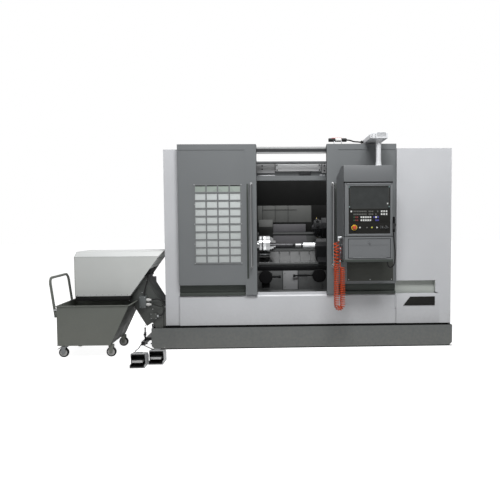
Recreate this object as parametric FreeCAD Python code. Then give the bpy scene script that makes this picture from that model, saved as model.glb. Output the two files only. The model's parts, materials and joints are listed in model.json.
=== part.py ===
import FreeCAD, Part
import math
import os

os.makedirs("parts", exist_ok=True)

# Slant-bed turning lathe with its chip conveyor, chip cart, operator pendant, air hose and foot pedals.
# Millimetres.  X runs along the spindle to the right, Y goes away from the operator, Z is up.
# The floor is Z = 0 and X = 0 is the middle of the coolant tank.

# ---------------------------------------------------------------- driving dimensions

# coolant tank: a low tray with a rim, on which everything stands
TANK_LENGTH = 3240.0
TANK_FRONT = -850.0
TANK_BACK = 850.0
TANK_HEIGHT = 228.0
TANK_RIM = 9.0
TANK_RECESS = 22.0
TANK_CORNER = 38.0

# body of sheet covers on the bed plinth
BODY_LEFT = -1474.0
BODY_RIGHT = 1608.0
BODY_FRONT = -790.0
BODY_BACK = 800.0
BODY_FOOT = 247.0
BODY_TOP = 2130.0
SHEET = 4.0
CHAMBER_LEFT = -500.0
CHAMBER_RIGHT = 1008.0
PLINTH_INSET = 18.0
CABINET_DEPTH = 180.0

# sliding doors in front of the body
DOOR_DEPTH = 40.0
DOOR_GAP = 6.0
DOOR_TOP = 2178.0
DOOR_BOTTOM = 684.0
LEFT_DOOR_LEFT = -1320.0
LEFT_DOOR_RIGHT = -487.0
RIGHT_DOOR_LEFT = 263.0
RIGHT_DOOR_RIGHT = 1008.0
STILE_WIDTH = 122.0
STILE_BOTTOM = 575.0
DOOR_FIELD_STEP = 4.0

# lattice window of the left door
WINDOW_LEFT = -1136.0
WINDOW_BOTTOM = 927.0
WINDOW_WIDTH = 478.0
WINDOW_HEIGHT = 818.0
WINDOW_COLUMNS = 4
WINDOW_ROWS = 10
LATTICE_BAR = 14.0
LATTICE_THICKNESS = 6.0
LATTICE_MARGIN = 16.0
GLASS_THICKNESS = 8.0

# door handles
HANDLE_RADIUS = 12.0
HANDLE_REACH = 58.0
HANDLE_BEND = 30.0
HANDLE_LOW = 880.0
HANDLE_HIGH = 1752.0
LEFT_HANDLE_X = -545.0
RIGHT_HANDLE_X = 328.0

# door rails and the header over the opening
RAIL_LOW = 2088.0
RAIL_HIGH = 2158.0
RAIL_DEPTH = 46.0
HANGER_WIDTH = 70.0
HEADER_LOW = 1809.0
HEADER_HIGH = 2022.0
HEADER_FRONT = -640.0
HEADER_DEPTH = 70.0
HEADER_BEAM = 52.0
HEADER_WEB = 12.0
HEADER_PLATE_UP = 86.0
HEADER_PLATE_DOWN = 30.0
HEADER_SEAMS = (-281.0, 226.0)
HEADER_SEAM_GAP = 8.0
HEADER_BOX_LEFT = -10.0
HEADER_BOX_WIDTH = 120.0

# front lower cover and the ledge that the doors slide over
SILL = 568.0
SILL_RIGHT = 1484.0
SILL_DEPTH = 60.0
GUIDE_HEIGHT = 30.0
POCKET_TOP = 712.0
POCKET_DEPTH = 45.0
PLATE_LEFT = 1000.0
PLATE_LENGTH = 440.0
PLATE_HEIGHT = 120.0

# slant bed and its ways
SLANT = 30.0
BED_FRONT = -340.0
BED_FRONT_HEIGHT = 820.0
BED_SLOPE_LENGTH = 800.0
BED_LEFT = -1300.0
BED_RIGHT = 1500.0
WAY_WIDTH = 42.0
WAY_HEIGHT = 24.0
FRONT_WAYS = (40.0, 330.0)
REAR_WAYS = (430.0, 720.0)
WAY_LEFT = -480.0
WAY_RIGHT = 985.0
RUNNING_GAP = 0.4

# spindle line, measured on the slant: along it and square to it
AXIS_ALONG = 207.0
AXIS_HEIGHT = 178.0
HEADSTOCK_LEFT = -1150.0
HEADSTOCK_RIGHT = -512.0
SPINDLE_RADIUS = 60.0
JAW_INNER = 26.0
PULLEY_RADIUS = 105.0
PULLEY_WIDTH = 80.0
PULLEY_GAP = 20.0
CHUCK_RADIUS = 120.0
CHUCK_LEFT = -470.0
CHUCK_RIGHT = -345.0
JAW_COUNT = 3
JAW_WIDTH = 34.0
JAW_LENGTH = 66.0
JAW_TRAVEL = 7.0
WORK_RADIUS = 31.0
WORK_LENGTH = 214.0

# tailstock
QUILL_RADIUS = 34.0
QUILL_OUT = 150.0
TAILSTOCK_LEFT = 196.0
TAILSTOCK_LENGTH = 330.0
TAILSTOCK_HALF = 70.0
TAILSTOCK_BASE = 30.0

# carriage with the tool turret
SADDLE_LEFT = 300.0
SADDLE_LENGTH = 330.0
SADDLE_THICKNESS = 34.0
SLIDE_THICKNESS = 30.0
SLIDE_REACH = 125.0
TURRET_ALONG = 607.0
TURRET_LEFT = 205.0
TURRET_THICKNESS = 90.0
TURRET_RADIUS = 98.0
TURRET_STATIONS = 8
TOOL_REACH = 30.0
TOOL_BLOCK = 18.0
TOOL_WIDTH = 28.0

# operator pendant on its arm
PENDANT_LEFT = 398.0
PENDANT_RIGHT = 899.0
PENDANT_FRONT = -1160.0
PENDANT_DEPTH = 230.0
PENDANT_LOW = 940.0
PENDANT_HIGH = 1917.0
PENDANT_FLARE = 44.0
HOOD_LIP = 34.0
HOOD_HEIGHT = 130.0
PANEL_LEFT = 447.0
PANEL_WIDTH = 424.0
PANEL_LOW = 1228.0
PANEL_HEIGHT = 483.0
PANEL_THICKNESS = 7.0
SCREEN_HEIGHT = 222.0
FLAP_LOW = 985.0
FLAP_HEIGHT = 188.0
FLAP_THICKNESS = 12.0
HINGE_RADIUS = 4.0
POST_X = 770.0
POST_Y = -1060.0
POST_RADIUS = 26.0
ARM_LEFT = 672.0
ARM_RIGHT = 852.0
ARM_FRONT = -1130.0
ARM_OVER_DOORS = 14.0
ARM_HEIGHT = 82.0
ARM_CORNER = 30.0
ARM_LOUVRES = 4
ESTOP_RADIUS = 21.0
ESTOP_STEM = 9.0
ESTOP_TRAVEL = 5.0
HANDSET_BACK = 76.0
HANDSET_DEPTH = 56.0
HANDSET_LOW = 1236.0
HANDSET_HEIGHT = 164.0
HANDSET_THICKNESS = 30.0
KNOB_RADIUS = 15.0

# coiled air hose and its blow gun
COIL_OUTER = 56.0
HOSE_DIAMETER = 9.0
COIL_SPACING = 62.0
COIL_X = 330.0
COIL_Y = -1100.0
COIL_LOW = 474.0
OUTLET_LOW = 1168.0
LONG_LEG_TURNS = 17
LONG_LEG_TOP = 1140.0
SHORT_LEG_TURNS = 10
SHORT_LEG_TOP = 882.0
HOSE_SIDES = 5
HOSE_STEPS = 6
GUN_LOW = 944.0
GUN_PEG = 170.0

# chip conveyor
TRUNK_SLOPE = 58.5
TRUNK_THICKNESS = 185.0
TRUNK_FRONT = -820.0
TRUNK_WIDTH = 390.0
TRUNK_FOOT = -1576.0
COLLAR_OUT = 26.0
JUNCTION_OUT = 154.0
JUNCTION_WIDTH = 68.0
JUNCTION_DEPTH = 34.0
JUNCTION_LOW = 330.0
JUNCTION_HEIGHT = 62.0
TRUNK_FLANGE = 22.0
TRUNK_WALL = 8.0
BELT_TAIL = 132.0
BELT_HALF = 44.0
HOOD_LEFT = -2400.0
HOOD_RIGHT = -1484.0
HOOD_LOW = 588.0
HOOD_LOW_RIGHT = -1826.0
HOOD_HIGH = 1053.0
HOOD_BEVEL = 52.0
HOOD_FRONT = -900.0
HOOD_WIDTH = 500.0
BELT_THICKNESS = 12.0
FLIGHT_PITCH = 110.0
SHAFT_RADIUS = 14.0

# chip cart
CART_LEFT = -2495.0
CART_RIGHT = -1774.0
CART_FRONT = -1160.0
CART_WIDTH = 560.0
CART_LOW = 126.0
CART_HIGH = 528.0
CART_END_SLOPE = 191.0
CART_WALL = 5.0
CART_RIM = 9.0
CART_HANDLE_RADIUS = 14.0
CART_HANDLE_HIGH = 806.0
CART_HANDLE_LEAN = 52.0
CART_HANDLE_BEND = 60.0
WHEEL_RADIUS = 50.0
WHEEL_WIDTH = 32.0
CASTER_IN = 50.0
REAR_WHEEL_IN = 3.0
WHEEL_INSET = 42.0
HUB_RADIUS = 13.0
CASTER_TRAIL = 22.0

# foot pedals and foot rail
PEDAL_WIDTH = 140.0
PEDAL_LENGTH = 190.0
PEDAL_HEIGHT = 128.0
PEDAL_SHEET = 6.0
PEDAL_PLACES = ((-1600.0, -1595.0), (-1452.0, -1475.0))
CABLE_DIAMETER = 9.0
LEAD_EXIT = 24.0
LEAD_SWAY = (((0.20, -32.0), (0.345, -62.0), (0.50, -70.0), (0.64, -46.0), (0.79, 8.0)),
             ((0.22, 20.0), (0.38, 52.0), (0.545, 56.0), (0.72, 20.0)))
FOOT_RAIL_OUT = 140.0
FOOT_RAIL_FRONT = -640.0
FOOT_RAIL_LENGTH = 700.0
FOOT_RAIL_SIZE = 40.0

SEAT = 0.3
RUNNING_FIT = 0.05
TUBE_SIDES = 6
CABLE_SIDES = 5
LEAD_SIDES = 4
SMALL_SIDES = 8
ROUND_SIDES = 16
BEND_CHORDS = 3

# ---------------------------------------------------------------- worked-out places

TANK_LEFT = -TANK_LENGTH / 2
TANK_RIGHT = TANK_LENGTH / 2
TRAY = TANK_HEIGHT - TANK_RECESS
FOOT_RAIL_X = TANK_LEFT - FOOT_RAIL_OUT
COLLAR_LEFT = BODY_LEFT - COLLAR_OUT
JUNCTION_LEFT = BODY_LEFT - JUNCTION_OUT
CART_FLOOR_RIGHT = CART_RIGHT - CART_END_SLOPE
WHEEL_LEFT = CART_LEFT + CASTER_IN
WHEEL_RIGHT = CART_FLOOR_RIGHT - REAR_WHEEL_IN
DOOR_BACK = BODY_FRONT - DOOR_GAP
DOOR_FRONT = DOOR_BACK - DOOR_DEPTH
ARM_LOW = DOOR_TOP + ARM_OVER_DOORS
ARM_HIGH = ARM_LOW + ARM_HEIGHT
SIN = math.sin(math.radians(SLANT))
COS = math.cos(math.radians(SLANT))


def on_slant(along, height):
    """Y and Z of a place measured along the bed's slant and square to it."""
    y = BED_FRONT + along * COS - height * SIN
    z = BED_FRONT_HEIGHT + along * SIN + height * COS
    return y, z


AXIS_Y, AXIS_Z = on_slant(AXIS_ALONG, AXIS_HEIGHT)
TURRET_Y, TURRET_Z = on_slant(TURRET_ALONG, AXIS_HEIGHT)

# ---------------------------------------------------------------- construction helpers

V = FreeCAD.Vector
X_AXIS = V(1, 0, 0)
Y_AXIS = V(0, 1, 0)
Z_AXIS = V(0, 0, 1)
nodes = {}


def block(x0, x1, y0, y1, z0, z1):
    return Part.makeBox(x1 - x0, y1 - y0, z1 - z0, V(x0, y0, z0))


def plate_yz(points, x0, x1):
    """A profile given as (y, z) pairs, run along X."""
    wire = Part.makePolygon([V(x0, y, z) for y, z in points] + [V(x0, *points[0])])
    return Part.Face(wire).extrude(V(x1 - x0, 0, 0))


def plate_xz(points, y0, y1):
    """A profile given as (x, z) pairs, run along Y."""
    wire = Part.makePolygon([V(x, y0, z) for x, z in points] + [V(points[0][0], y0, points[0][1])])
    return Part.Face(wire).extrude(V(0, y1 - y0, 0))


def plate_xy(points, z0, z1):
    """A profile given as (x, y) pairs, run along Z."""
    wire = Part.makePolygon([V(x, y, z0) for x, y in points] + [V(points[0][0], points[0][1], z0)])
    return Part.Face(wire).extrude(V(0, 0, z1 - z0))


def rod(start, end, radius):
    line = end - start
    return Part.makeCylinder(radius, line.Length, start, line)


def turned(stations, start, axis):
    """A turned piece: (distance, radius) pairs along an axis that leaves start."""
    helper = V(0, 0, 1) if abs(axis.z) < 0.5 else V(1, 0, 0)
    side = axis.cross(helper)
    side.normalize()
    points = [start + axis * stations[0][0]]
    points += [start + axis * along + side * radius for along, radius in stations]
    points += [start + axis * stations[-1][0], points[0]]
    return Part.Face(Part.makePolygon(points)).revolve(start, axis, 360)


def fused(*shapes):
    return shapes[0].fuse(list(shapes[1:])).removeSplitter()


def rounded_route(points, share=0.45):
    """Straight runs joined by tangent arcs, each as large as its two runs allow."""
    edges = []
    radii = []
    here = points[0]
    for before, corner, after in zip(points, points[1:], points[2:]):
        inward = before - corner
        outward = after - corner
        turn = math.pi - inward.getAngle(outward)
        cut = share * min(inward.Length, outward.Length)
        radii.append(cut / math.tan(turn / 2))
        inward.normalize()
        outward.normalize()
        start = corner + inward * cut
        end = corner + outward * cut
        bisector = inward + outward
        bisector.normalize()
        reach = radii[-1] / math.cos(turn / 2) - radii[-1]
        edges.append(Part.LineSegment(here, start).toShape())
        edges.append(Part.Arc(start, corner + bisector * reach, end).toShape())
        here = end
    edges.append(Part.LineSegment(here, points[-1]).toShape())
    return Part.Wire(edges), radii


def ring_of(start, heading, radius, sides):
    """A closed ring of straight sides round a point, square to a heading."""
    helper = Z_AXIS if abs(heading.z) < 0.9 * heading.Length else X_AXIS
    side = heading.cross(helper)
    side.normalize()
    up = heading.cross(side)
    up.normalize()
    corners = []
    for step in range(sides + 1):
        angle = 2 * math.pi * (step + 0.5) / sides
        corners.append(start + side * (radius * math.cos(angle)) + up * (radius * math.sin(angle)))
    return Part.makePolygon(corners)


def prism(start, end, radius, sides=SMALL_SIDES):
    """A small or hidden round piece, with flat sides."""
    line = end - start
    return Part.Face(ring_of(start, line, radius, sides)).extrude(line)


def stack(stations, start, axis, sides=SMALL_SIDES):
    """Prisms end to end: (from, to, radius) along an axis that leaves start."""
    return fused(*[prism(start + axis * low, start + axis * high, radius, sides) for low, high, radius in stations])


def bent_path(points, bend):
    """Straight runs whose corners are rounded by a few chords of the bend's radius."""
    path = [points[0]]
    for before, corner, after in zip(points, points[1:], points[2:]):
        inward = before - corner
        outward = after - corner
        inward.normalize()
        outward.normalize()
        turn = math.pi - inward.getAngle(outward)
        bisector = inward + outward
        bisector.normalize()
        centre = corner + bisector * (bend / math.cos(turn / 2))
        first = corner + inward * (bend * math.tan(turn / 2)) - centre
        axis = inward.cross(outward)
        for step in range(BEND_CHORDS + 1):
            turned_by = FreeCAD.Rotation(axis, -math.degrees(turn) * step / BEND_CHORDS)
            path.append(centre + turned_by.multVec(first))
    path.append(points[-1])
    return path


def mitred(points, radius, sides):
    """A tube of straight chords, mitred where they meet."""
    mitre = 1
    path = Part.makePolygon(points)
    return path.makePipeShell([ring_of(points[0], points[1] - points[0], radius, sides)], True, False, mitre)


def swept(wire, radius, sides):
    """A tube with a few flat sides along a wire of straight runs and tangent arcs."""
    edge = wire.OrderedEdges[0]
    start = edge.valueAt(edge.FirstParameter)
    heading = edge.tangentAt(edge.FirstParameter)
    return wire.makePipeShell([ring_of(start, heading, radius, sides)], True, False)


# ---------------------------------------------------------------- tank and bed

def make_tank():
    ends = [
        (TANK_LEFT + TANK_CORNER, 0),
        (TANK_RIGHT - TANK_CORNER, 0),
        (TANK_RIGHT, TANK_CORNER),
        (TANK_RIGHT, TANK_HEIGHT),
        (TANK_LEFT, TANK_HEIGHT),
        (TANK_LEFT, TANK_CORNER),
    ]
    tank = plate_xz(ends, TANK_FRONT, TANK_BACK)
    recess = block(TANK_LEFT + TANK_RIM, TANK_RIGHT - TANK_RIM,
                   TANK_FRONT + TANK_RIM, TANK_BACK - TANK_RIM, TRAY, TANK_HEIGHT)
    nodes["coolant_tank"] = tank.cut(recess)


def make_bed():
    top_y, top_z = on_slant(BED_SLOPE_LENGTH, 0)
    back = top_y + 80
    casting = plate_yz([
        (BED_FRONT, BODY_FOOT), (BED_FRONT, BED_FRONT_HEIGHT), (top_y, top_z), (back, top_z), (back, BODY_FOOT)],
        BED_LEFT, BED_RIGHT)
    plinth = block(BODY_LEFT + PLINTH_INSET, BODY_RIGHT - PLINTH_INSET,
                   BODY_FRONT + PLINTH_INSET, BODY_BACK - PLINTH_INSET, TRAY, BODY_FOOT)
    ways = []
    for along in FRONT_WAYS + REAR_WAYS:
        section = [on_slant(along, 0), on_slant(along, WAY_HEIGHT),
                   on_slant(along + WAY_WIDTH, WAY_HEIGHT), on_slant(along + WAY_WIDTH, 0)]
        ways.append(plate_yz(section, WAY_LEFT, WAY_RIGHT))
    nodes["bed_casting"] = fused(casting, plinth, *ways)

    # the sheet over the front ways lies between them, ribbed like the real telescopic guard
    first = FRONT_WAYS[0] + WAY_WIDTH + 2
    last = FRONT_WAYS[1] - 2
    rib = 3.0
    section = [on_slant(first, 0), on_slant(first, WAY_HEIGHT - 6),
               on_slant(last, WAY_HEIGHT - 6), on_slant(last, 0)]
    sheet = plate_yz(section, WAY_LEFT, WAY_RIGHT)
    rib_pitch = 120.0
    ribs = []
    place = WAY_LEFT + rib_pitch
    while place < WAY_RIGHT - rib_pitch / 2:
        low = on_slant(first, WAY_HEIGHT - 6)
        high = on_slant(last, WAY_HEIGHT - 6)
        ribs.append(plate_yz([low, on_slant(first, WAY_HEIGHT - 6 + rib),
                              on_slant(last, WAY_HEIGHT - 6 + rib), high], place, place + rib))
        place += rib_pitch
    nodes["way_cover"] = fused(sheet, *ribs)

    # upright guard in front of the bed, folded back under the front way, with the chip slide below it
    guard_back = BED_FRONT - SEAT
    guard_front = guard_back - 34
    guard_top = BED_FRONT_HEIGHT - 26
    slide_low = BODY_FOOT + 60
    slide_front = BODY_FRONT + SILL_DEPTH + 2
    guard = plate_yz([
        (guard_back, guard_top), (guard_front, guard_top), (guard_front, SILL), (slide_front, slide_low),
        (slide_front, BODY_FOOT), (guard_back, BODY_FOOT)], CHAMBER_LEFT + 1, CHAMBER_RIGHT - 1)
    seams = []
    panel = 150.0
    place = CHAMBER_LEFT + panel
    while place < CHAMBER_RIGHT - panel / 2:
        seams.append(block(place, place + 5, guard_front - 1, guard_front + 4, SILL + 10, guard_top + 1))
        place += panel
    nodes["apron_guard"] = guard.cut(Part.makeCompound(seams))


# ---------------------------------------------------------------- sheet covers

def make_covers():
    # left cover: closed round the headstock, with a round opening for the spindle nose
    left = block(BODY_LEFT, CHAMBER_LEFT, BODY_FRONT, BODY_BACK, BODY_FOOT, BODY_TOP)
    inner = block(BODY_LEFT + SHEET, CHAMBER_LEFT - SHEET, BODY_FRONT + SHEET, BODY_BACK - SHEET,
                  BODY_FOOT, BODY_TOP - SHEET)
    nose = prism(V(CHAMBER_LEFT - 2 * SHEET, AXIS_Y, AXIS_Z), V(CHAMBER_LEFT + SHEET, AXIS_Y, AXIS_Z),
                 SPINDLE_RADIUS + 14, ROUND_SIDES)
    top_y, top_z = on_slant(BED_SLOPE_LENGTH, 0)
    bed_way = plate_yz([
        (BED_FRONT - 36, BODY_FOOT), (BED_FRONT - 36, BED_FRONT_HEIGHT + 8), on_slant(-30, WAY_HEIGHT + 14),
        on_slant(BED_SLOPE_LENGTH, WAY_HEIGHT + 14), (top_y + 80 + SEAT, top_z + 20),
        (top_y + 80 + SEAT, BODY_FOOT)], CHAMBER_LEFT - 2 * SHEET, CHAMBER_LEFT + SHEET)
    rail_notch = block(LEFT_DOOR_LEFT, CHAMBER_LEFT + 1, BODY_FRONT - 1, BODY_FRONT + RAIL_DEPTH + SEAT,
                       RAIL_LOW, BODY_TOP + 1)
    notch_floor = block(LEFT_DOOR_LEFT - SHEET, CHAMBER_LEFT, BODY_FRONT, BODY_FRONT + RAIL_DEPTH + SHEET,
                        RAIL_LOW - SHEET, BODY_TOP)
    cover = fused(left.cut(inner), notch_floor).cut(rail_notch)
    cover = cover.cut(nose).cut(bed_way)
    # the lower front, under the doors' ledge, belongs to the front cover
    lower_front = block(LEFT_DOOR_LEFT, CHAMBER_LEFT + 1, BODY_FRONT - 1, BODY_FRONT + SHEET + 1,
                        BODY_FOOT - 1, SILL + GUIDE_HEIGHT)
    nodes["left_enclosure"] = cover.cut(lower_front)

    # right cover: cabinet, the fixed front behind the right door and the step of the front panel
    right = block(CHAMBER_RIGHT, BODY_RIGHT, BODY_FRONT, BODY_BACK, BODY_FOOT, BODY_TOP)
    hollow = block(CHAMBER_RIGHT + SHEET, BODY_RIGHT - SHEET, BODY_FRONT + SHEET, BODY_BACK - SHEET,
                   BODY_FOOT, BODY_TOP - SHEET)
    raised = block(RIGHT_DOOR_RIGHT + DOOR_GAP, BODY_RIGHT, DOOR_FRONT + 8, BODY_FRONT, BODY_FOOT, BODY_TOP)
    front = block(RIGHT_DOOR_LEFT + 20, CHAMBER_RIGHT, BODY_FRONT, BODY_FRONT + SHEET, SILL + GUIDE_HEIGHT,
                  RAIL_LOW)
    way_right = plate_yz([
        (BED_FRONT - 36, BODY_FOOT), (BED_FRONT - 36, BED_FRONT_HEIGHT + 8), on_slant(-30, WAY_HEIGHT + 14),
        on_slant(BED_SLOPE_LENGTH, WAY_HEIGHT + 14), (top_y + 80 + SEAT, top_z + 20),
        (top_y + 80 + SEAT, BODY_FOOT)], CHAMBER_RIGHT - SHEET, CHAMBER_RIGHT + 2 * SHEET)
    pocket = plate_xz([
        (RIGHT_DOOR_RIGHT, SILL), (SILL_RIGHT, SILL), (SILL_RIGHT - POCKET_DEPTH, SILL + 20),
        (SILL_RIGHT - POCKET_DEPTH, POCKET_TOP), (RIGHT_DOOR_RIGHT, POCKET_TOP)],
        DOOR_FRONT, BODY_FRONT + SHEET - 2)
    under_pocket = block(RIGHT_DOOR_RIGHT, SILL_RIGHT, DOOR_FRONT, BODY_FRONT, BODY_FOOT - 1, SILL)
    wall = fused(right.cut(hollow), raised, front)
    wall = wall.cut(way_right).cut(pocket).cut(under_pocket)
    rail_end = block(RIGHT_DOOR_LEFT, RIGHT_DOOR_RIGHT, BODY_FRONT - 1, BODY_FRONT + RAIL_DEPTH + SEAT,
                     RAIL_LOW, BODY_TOP + 1)
    nodes["right_enclosure"] = wall.cut(rail_end)

    # rear wall of the chamber with the control cabinet on its back
    rear_front = top_y + 80 + 1
    rear = plate_yz([
        (rear_front, BODY_FOOT), (rear_front, HEADER_LOW + 90), (rear_front + SHEET, HEADER_LOW + 90),
        (rear_front + SHEET, BODY_FOOT)], CHAMBER_LEFT, CHAMBER_RIGHT)
    shelf = block(CHAMBER_LEFT, CHAMBER_RIGHT, rear_front, BODY_BACK, HEADER_LOW + 90, HEADER_LOW + 90 + SHEET)
    cabinet = block(CHAMBER_LEFT + 40, CHAMBER_RIGHT - 40, BODY_BACK - CABINET_DEPTH, BODY_BACK, BODY_FOOT,
                    HEADER_LOW + 90)
    vents = []
    vent_pitch = 46.0
    for row in range(6):
        low = HEADER_LOW - 260 + row * vent_pitch
        vents.append(block(-60, 540, BODY_BACK - 12, BODY_BACK + 1, low, low + 16))
    nodes["rear_enclosure"] = fused(rear, shelf, cabinet).cut(Part.makeCompound(vents))


def make_front_cover():
    """Lower front cover with its folded sill, the door guide behind it and a plain slanted plate."""
    low = BODY_FOOT
    front = BODY_FRONT - 20
    panel = plate_yz([
        (front, low), (front, SILL - 14), (front + 10, SILL), (BODY_FRONT + SILL_DEPTH, SILL),
        (BODY_FRONT + SILL_DEPTH, low)], LEFT_DOOR_LEFT, SILL_RIGHT)
    cabinet_side = block(CHAMBER_RIGHT, SILL_RIGHT + 1, BODY_FRONT, BODY_FRONT + SILL_DEPTH + 1, low - 1,
                         SILL + 1)
    left_side = block(LEFT_DOOR_LEFT - 1, CHAMBER_LEFT + 1, BODY_FRONT + SHEET + 1,
                      BODY_FRONT + SILL_DEPTH + 1, low - 1, SILL + 1)
    guide = block(LEFT_DOOR_LEFT, CHAMBER_RIGHT, BODY_FRONT, BODY_FRONT + SHEET, SILL, SILL + GUIDE_HEIGHT)
    badge = plate_yz([
        (front, SILL - 150), (front - 10, SILL - 150), (front - 4, SILL - 150 + PLATE_HEIGHT),
        (front, SILL - 150 + PLATE_HEIGHT)], PLATE_LEFT, PLATE_LEFT + PLATE_LENGTH)
    nodes["front_lower_cover"] = fused(panel.cut(cabinet_side).cut(left_side), guide, badge)


def make_rail_and_header():
    back = BODY_FRONT + RAIL_DEPTH
    lip = 12.0
    rail = plate_yz([
        (BODY_FRONT, RAIL_LOW), (back, RAIL_LOW), (back, RAIL_HIGH), (BODY_FRONT + lip, RAIL_HIGH),
        (BODY_FRONT, RAIL_HIGH - lip), (BODY_FRONT, RAIL_HIGH - 2 * lip),
        (BODY_FRONT + lip, RAIL_HIGH - 2 * lip), (BODY_FRONT + lip, RAIL_LOW + lip),
        (BODY_FRONT, RAIL_LOW + lip)], LEFT_DOOR_LEFT + SEAT, RIGHT_DOOR_RIGHT - SEAT)
    nodes["door_top_rail"] = rail

    back = HEADER_FRONT + HEADER_DEPTH
    beam = block(CHAMBER_LEFT, CHAMBER_RIGHT, HEADER_FRONT, back, HEADER_LOW, HEADER_LOW + HEADER_BEAM)
    web = block(CHAMBER_LEFT, CHAMBER_RIGHT, back - HEADER_WEB, back, HEADER_LOW + HEADER_BEAM, HEADER_HIGH - 20)
    top = block(CHAMBER_LEFT, CHAMBER_RIGHT, back - 30, back, HEADER_HIGH - 20, HEADER_HIGH)
    low = HEADER_LOW + HEADER_PLATE_UP
    high = HEADER_HIGH - HEADER_PLATE_DOWN
    web_front = back - HEADER_WEB
    gap = HEADER_SEAM_GAP / 2
    first, second = HEADER_SEAMS
    plates = [
        block(CHAMBER_LEFT, first - gap, web_front - 18, web_front, low, high),
        block(first + gap, second - gap, web_front - 22, web_front, low + 19, high - 2),
        block(second + gap, second + 174, web_front - 18, web_front, low, high),
        block(HEADER_BOX_LEFT, HEADER_BOX_LEFT + HEADER_BOX_WIDTH, web_front - 14, web_front, low - 27, low + 11),
    ]
    nodes["header_beam"] = fused(beam, web, top, *plates)


# ---------------------------------------------------------------- doors

def handle(x, face):
    """Bent grab tube with a foot at each end."""
    route = [V(x, face, HANDLE_HIGH), V(x, face - HANDLE_REACH, HANDLE_HIGH),
             V(x, face - HANDLE_REACH, HANDLE_LOW), V(x, face, HANDLE_LOW)]
    return mitred(bent_path(route, HANDLE_BEND), HANDLE_RADIUS, TUBE_SIDES)


def hangers(left, right):
    """Folded hooks that carry a door on the top rail."""
    hooks = []
    reach = BODY_FRONT + 30
    for x in (left + 90, right - 90 - HANGER_WIDTH):
        hooks.append(plate_yz([
            (DOOR_BACK, RAIL_HIGH + 2), (DOOR_BACK, DOOR_TOP - SEAT), (reach, DOOR_TOP - SEAT),
            (reach, RAIL_HIGH + SEAT), (reach - 12, RAIL_HIGH + SEAT), (reach - 12, DOOR_TOP - 8),
            (DOOR_BACK + 4, DOOR_TOP - 8), (DOOR_BACK + 4, RAIL_HIGH + 2)], x, x + HANGER_WIDTH))
    return hooks


def make_doors():
    rim = 10.0
    outline = [
        (LEFT_DOOR_LEFT, DOOR_TOP), (LEFT_DOOR_RIGHT, DOOR_TOP), (LEFT_DOOR_RIGHT, STILE_BOTTOM),
        (LEFT_DOOR_RIGHT - STILE_WIDTH, STILE_BOTTOM), (LEFT_DOOR_RIGHT - STILE_WIDTH, DOOR_BOTTOM),
        (LEFT_DOOR_LEFT, DOOR_BOTTOM)]
    door = plate_xz(outline, DOOR_FRONT, DOOR_BACK)
    field = block(LEFT_DOOR_LEFT + rim, LEFT_DOOR_RIGHT - STILE_WIDTH, DOOR_FRONT - 1,
                  DOOR_FRONT + DOOR_FIELD_STEP, DOOR_BOTTOM + rim, DOOR_TOP - 60)
    window = block(WINDOW_LEFT, WINDOW_LEFT + WINDOW_WIDTH, DOOR_FRONT - 1, DOOR_BACK + 1, WINDOW_BOTTOM,
                   WINDOW_BOTTOM + WINDOW_HEIGHT)
    groove = block(LEFT_DOOR_RIGHT - STILE_WIDTH + 16, LEFT_DOOR_RIGHT - 84, DOOR_FRONT - 1, DOOR_FRONT + 6,
                   HANDLE_LOW - 130, HANDLE_HIGH + 8)
    bead = block(WINDOW_LEFT - 14, WINDOW_LEFT + WINDOW_WIDTH + 14, DOOR_BACK - 14, DOOR_BACK + 1,
                 WINDOW_BOTTOM - 14, WINDOW_BOTTOM + WINDOW_HEIGHT + 14)
    nodes["left_door"] = fused(door.cut(Part.makeCompound([field, window, groove, bead])),
                               *hangers(LEFT_DOOR_LEFT, LEFT_DOOR_RIGHT))

    # lattice guard: a plate with one opening for each cell, screwed over the window from the front
    front = DOOR_FRONT + DOOR_FIELD_STEP
    guard = block(WINDOW_LEFT - LATTICE_MARGIN, WINDOW_LEFT + WINDOW_WIDTH + LATTICE_MARGIN,
                  front - LATTICE_THICKNESS, front, WINDOW_BOTTOM - LATTICE_MARGIN,
                  WINDOW_BOTTOM + WINDOW_HEIGHT + LATTICE_MARGIN)
    pitch_x = (WINDOW_WIDTH + LATTICE_BAR) / WINDOW_COLUMNS
    pitch_z = (WINDOW_HEIGHT + LATTICE_BAR) / WINDOW_ROWS
    cells = []
    for column in range(WINDOW_COLUMNS):
        for row in range(WINDOW_ROWS):
            x = WINDOW_LEFT + column * pitch_x
            z = WINDOW_BOTTOM + row * pitch_z
            cells.append(block(x, x + pitch_x - LATTICE_BAR, front - LATTICE_THICKNESS - 1, front + 1,
                               z, z + pitch_z - LATTICE_BAR))
    nodes["window_guard"] = guard.cut(Part.makeCompound(cells))
    nodes["window_glass"] = block(WINDOW_LEFT - 13, WINDOW_LEFT + WINDOW_WIDTH + 13, DOOR_BACK - 14,
                                  DOOR_BACK - 14 + GLASS_THICKNESS, WINDOW_BOTTOM - 13,
                                  WINDOW_BOTTOM + WINDOW_HEIGHT + 13)
    nodes["left_door_handle"] = handle(LEFT_HANDLE_X, DOOR_FRONT)

    panel = block(RIGHT_DOOR_LEFT, RIGHT_DOOR_RIGHT, DOOR_FRONT, DOOR_BACK, DOOR_BOTTOM, DOOR_TOP)
    stile = block(RIGHT_DOOR_LEFT, RIGHT_DOOR_LEFT + STILE_WIDTH, DOOR_FRONT, DOOR_BACK, STILE_BOTTOM,
                  DOOR_BOTTOM + 1)
    inset = block(RIGHT_DOOR_LEFT + STILE_WIDTH, RIGHT_DOOR_RIGHT - rim, DOOR_FRONT - 1,
                  DOOR_FRONT + DOOR_FIELD_STEP, DOOR_BOTTOM + rim, DOOR_TOP - 60)
    nodes["right_door"] = fused(fused(panel, stile).cut(inset), *hangers(RIGHT_DOOR_LEFT, RIGHT_DOOR_RIGHT))
    nodes["right_door_handle"] = handle(RIGHT_HANDLE_X, DOOR_FRONT)


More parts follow.
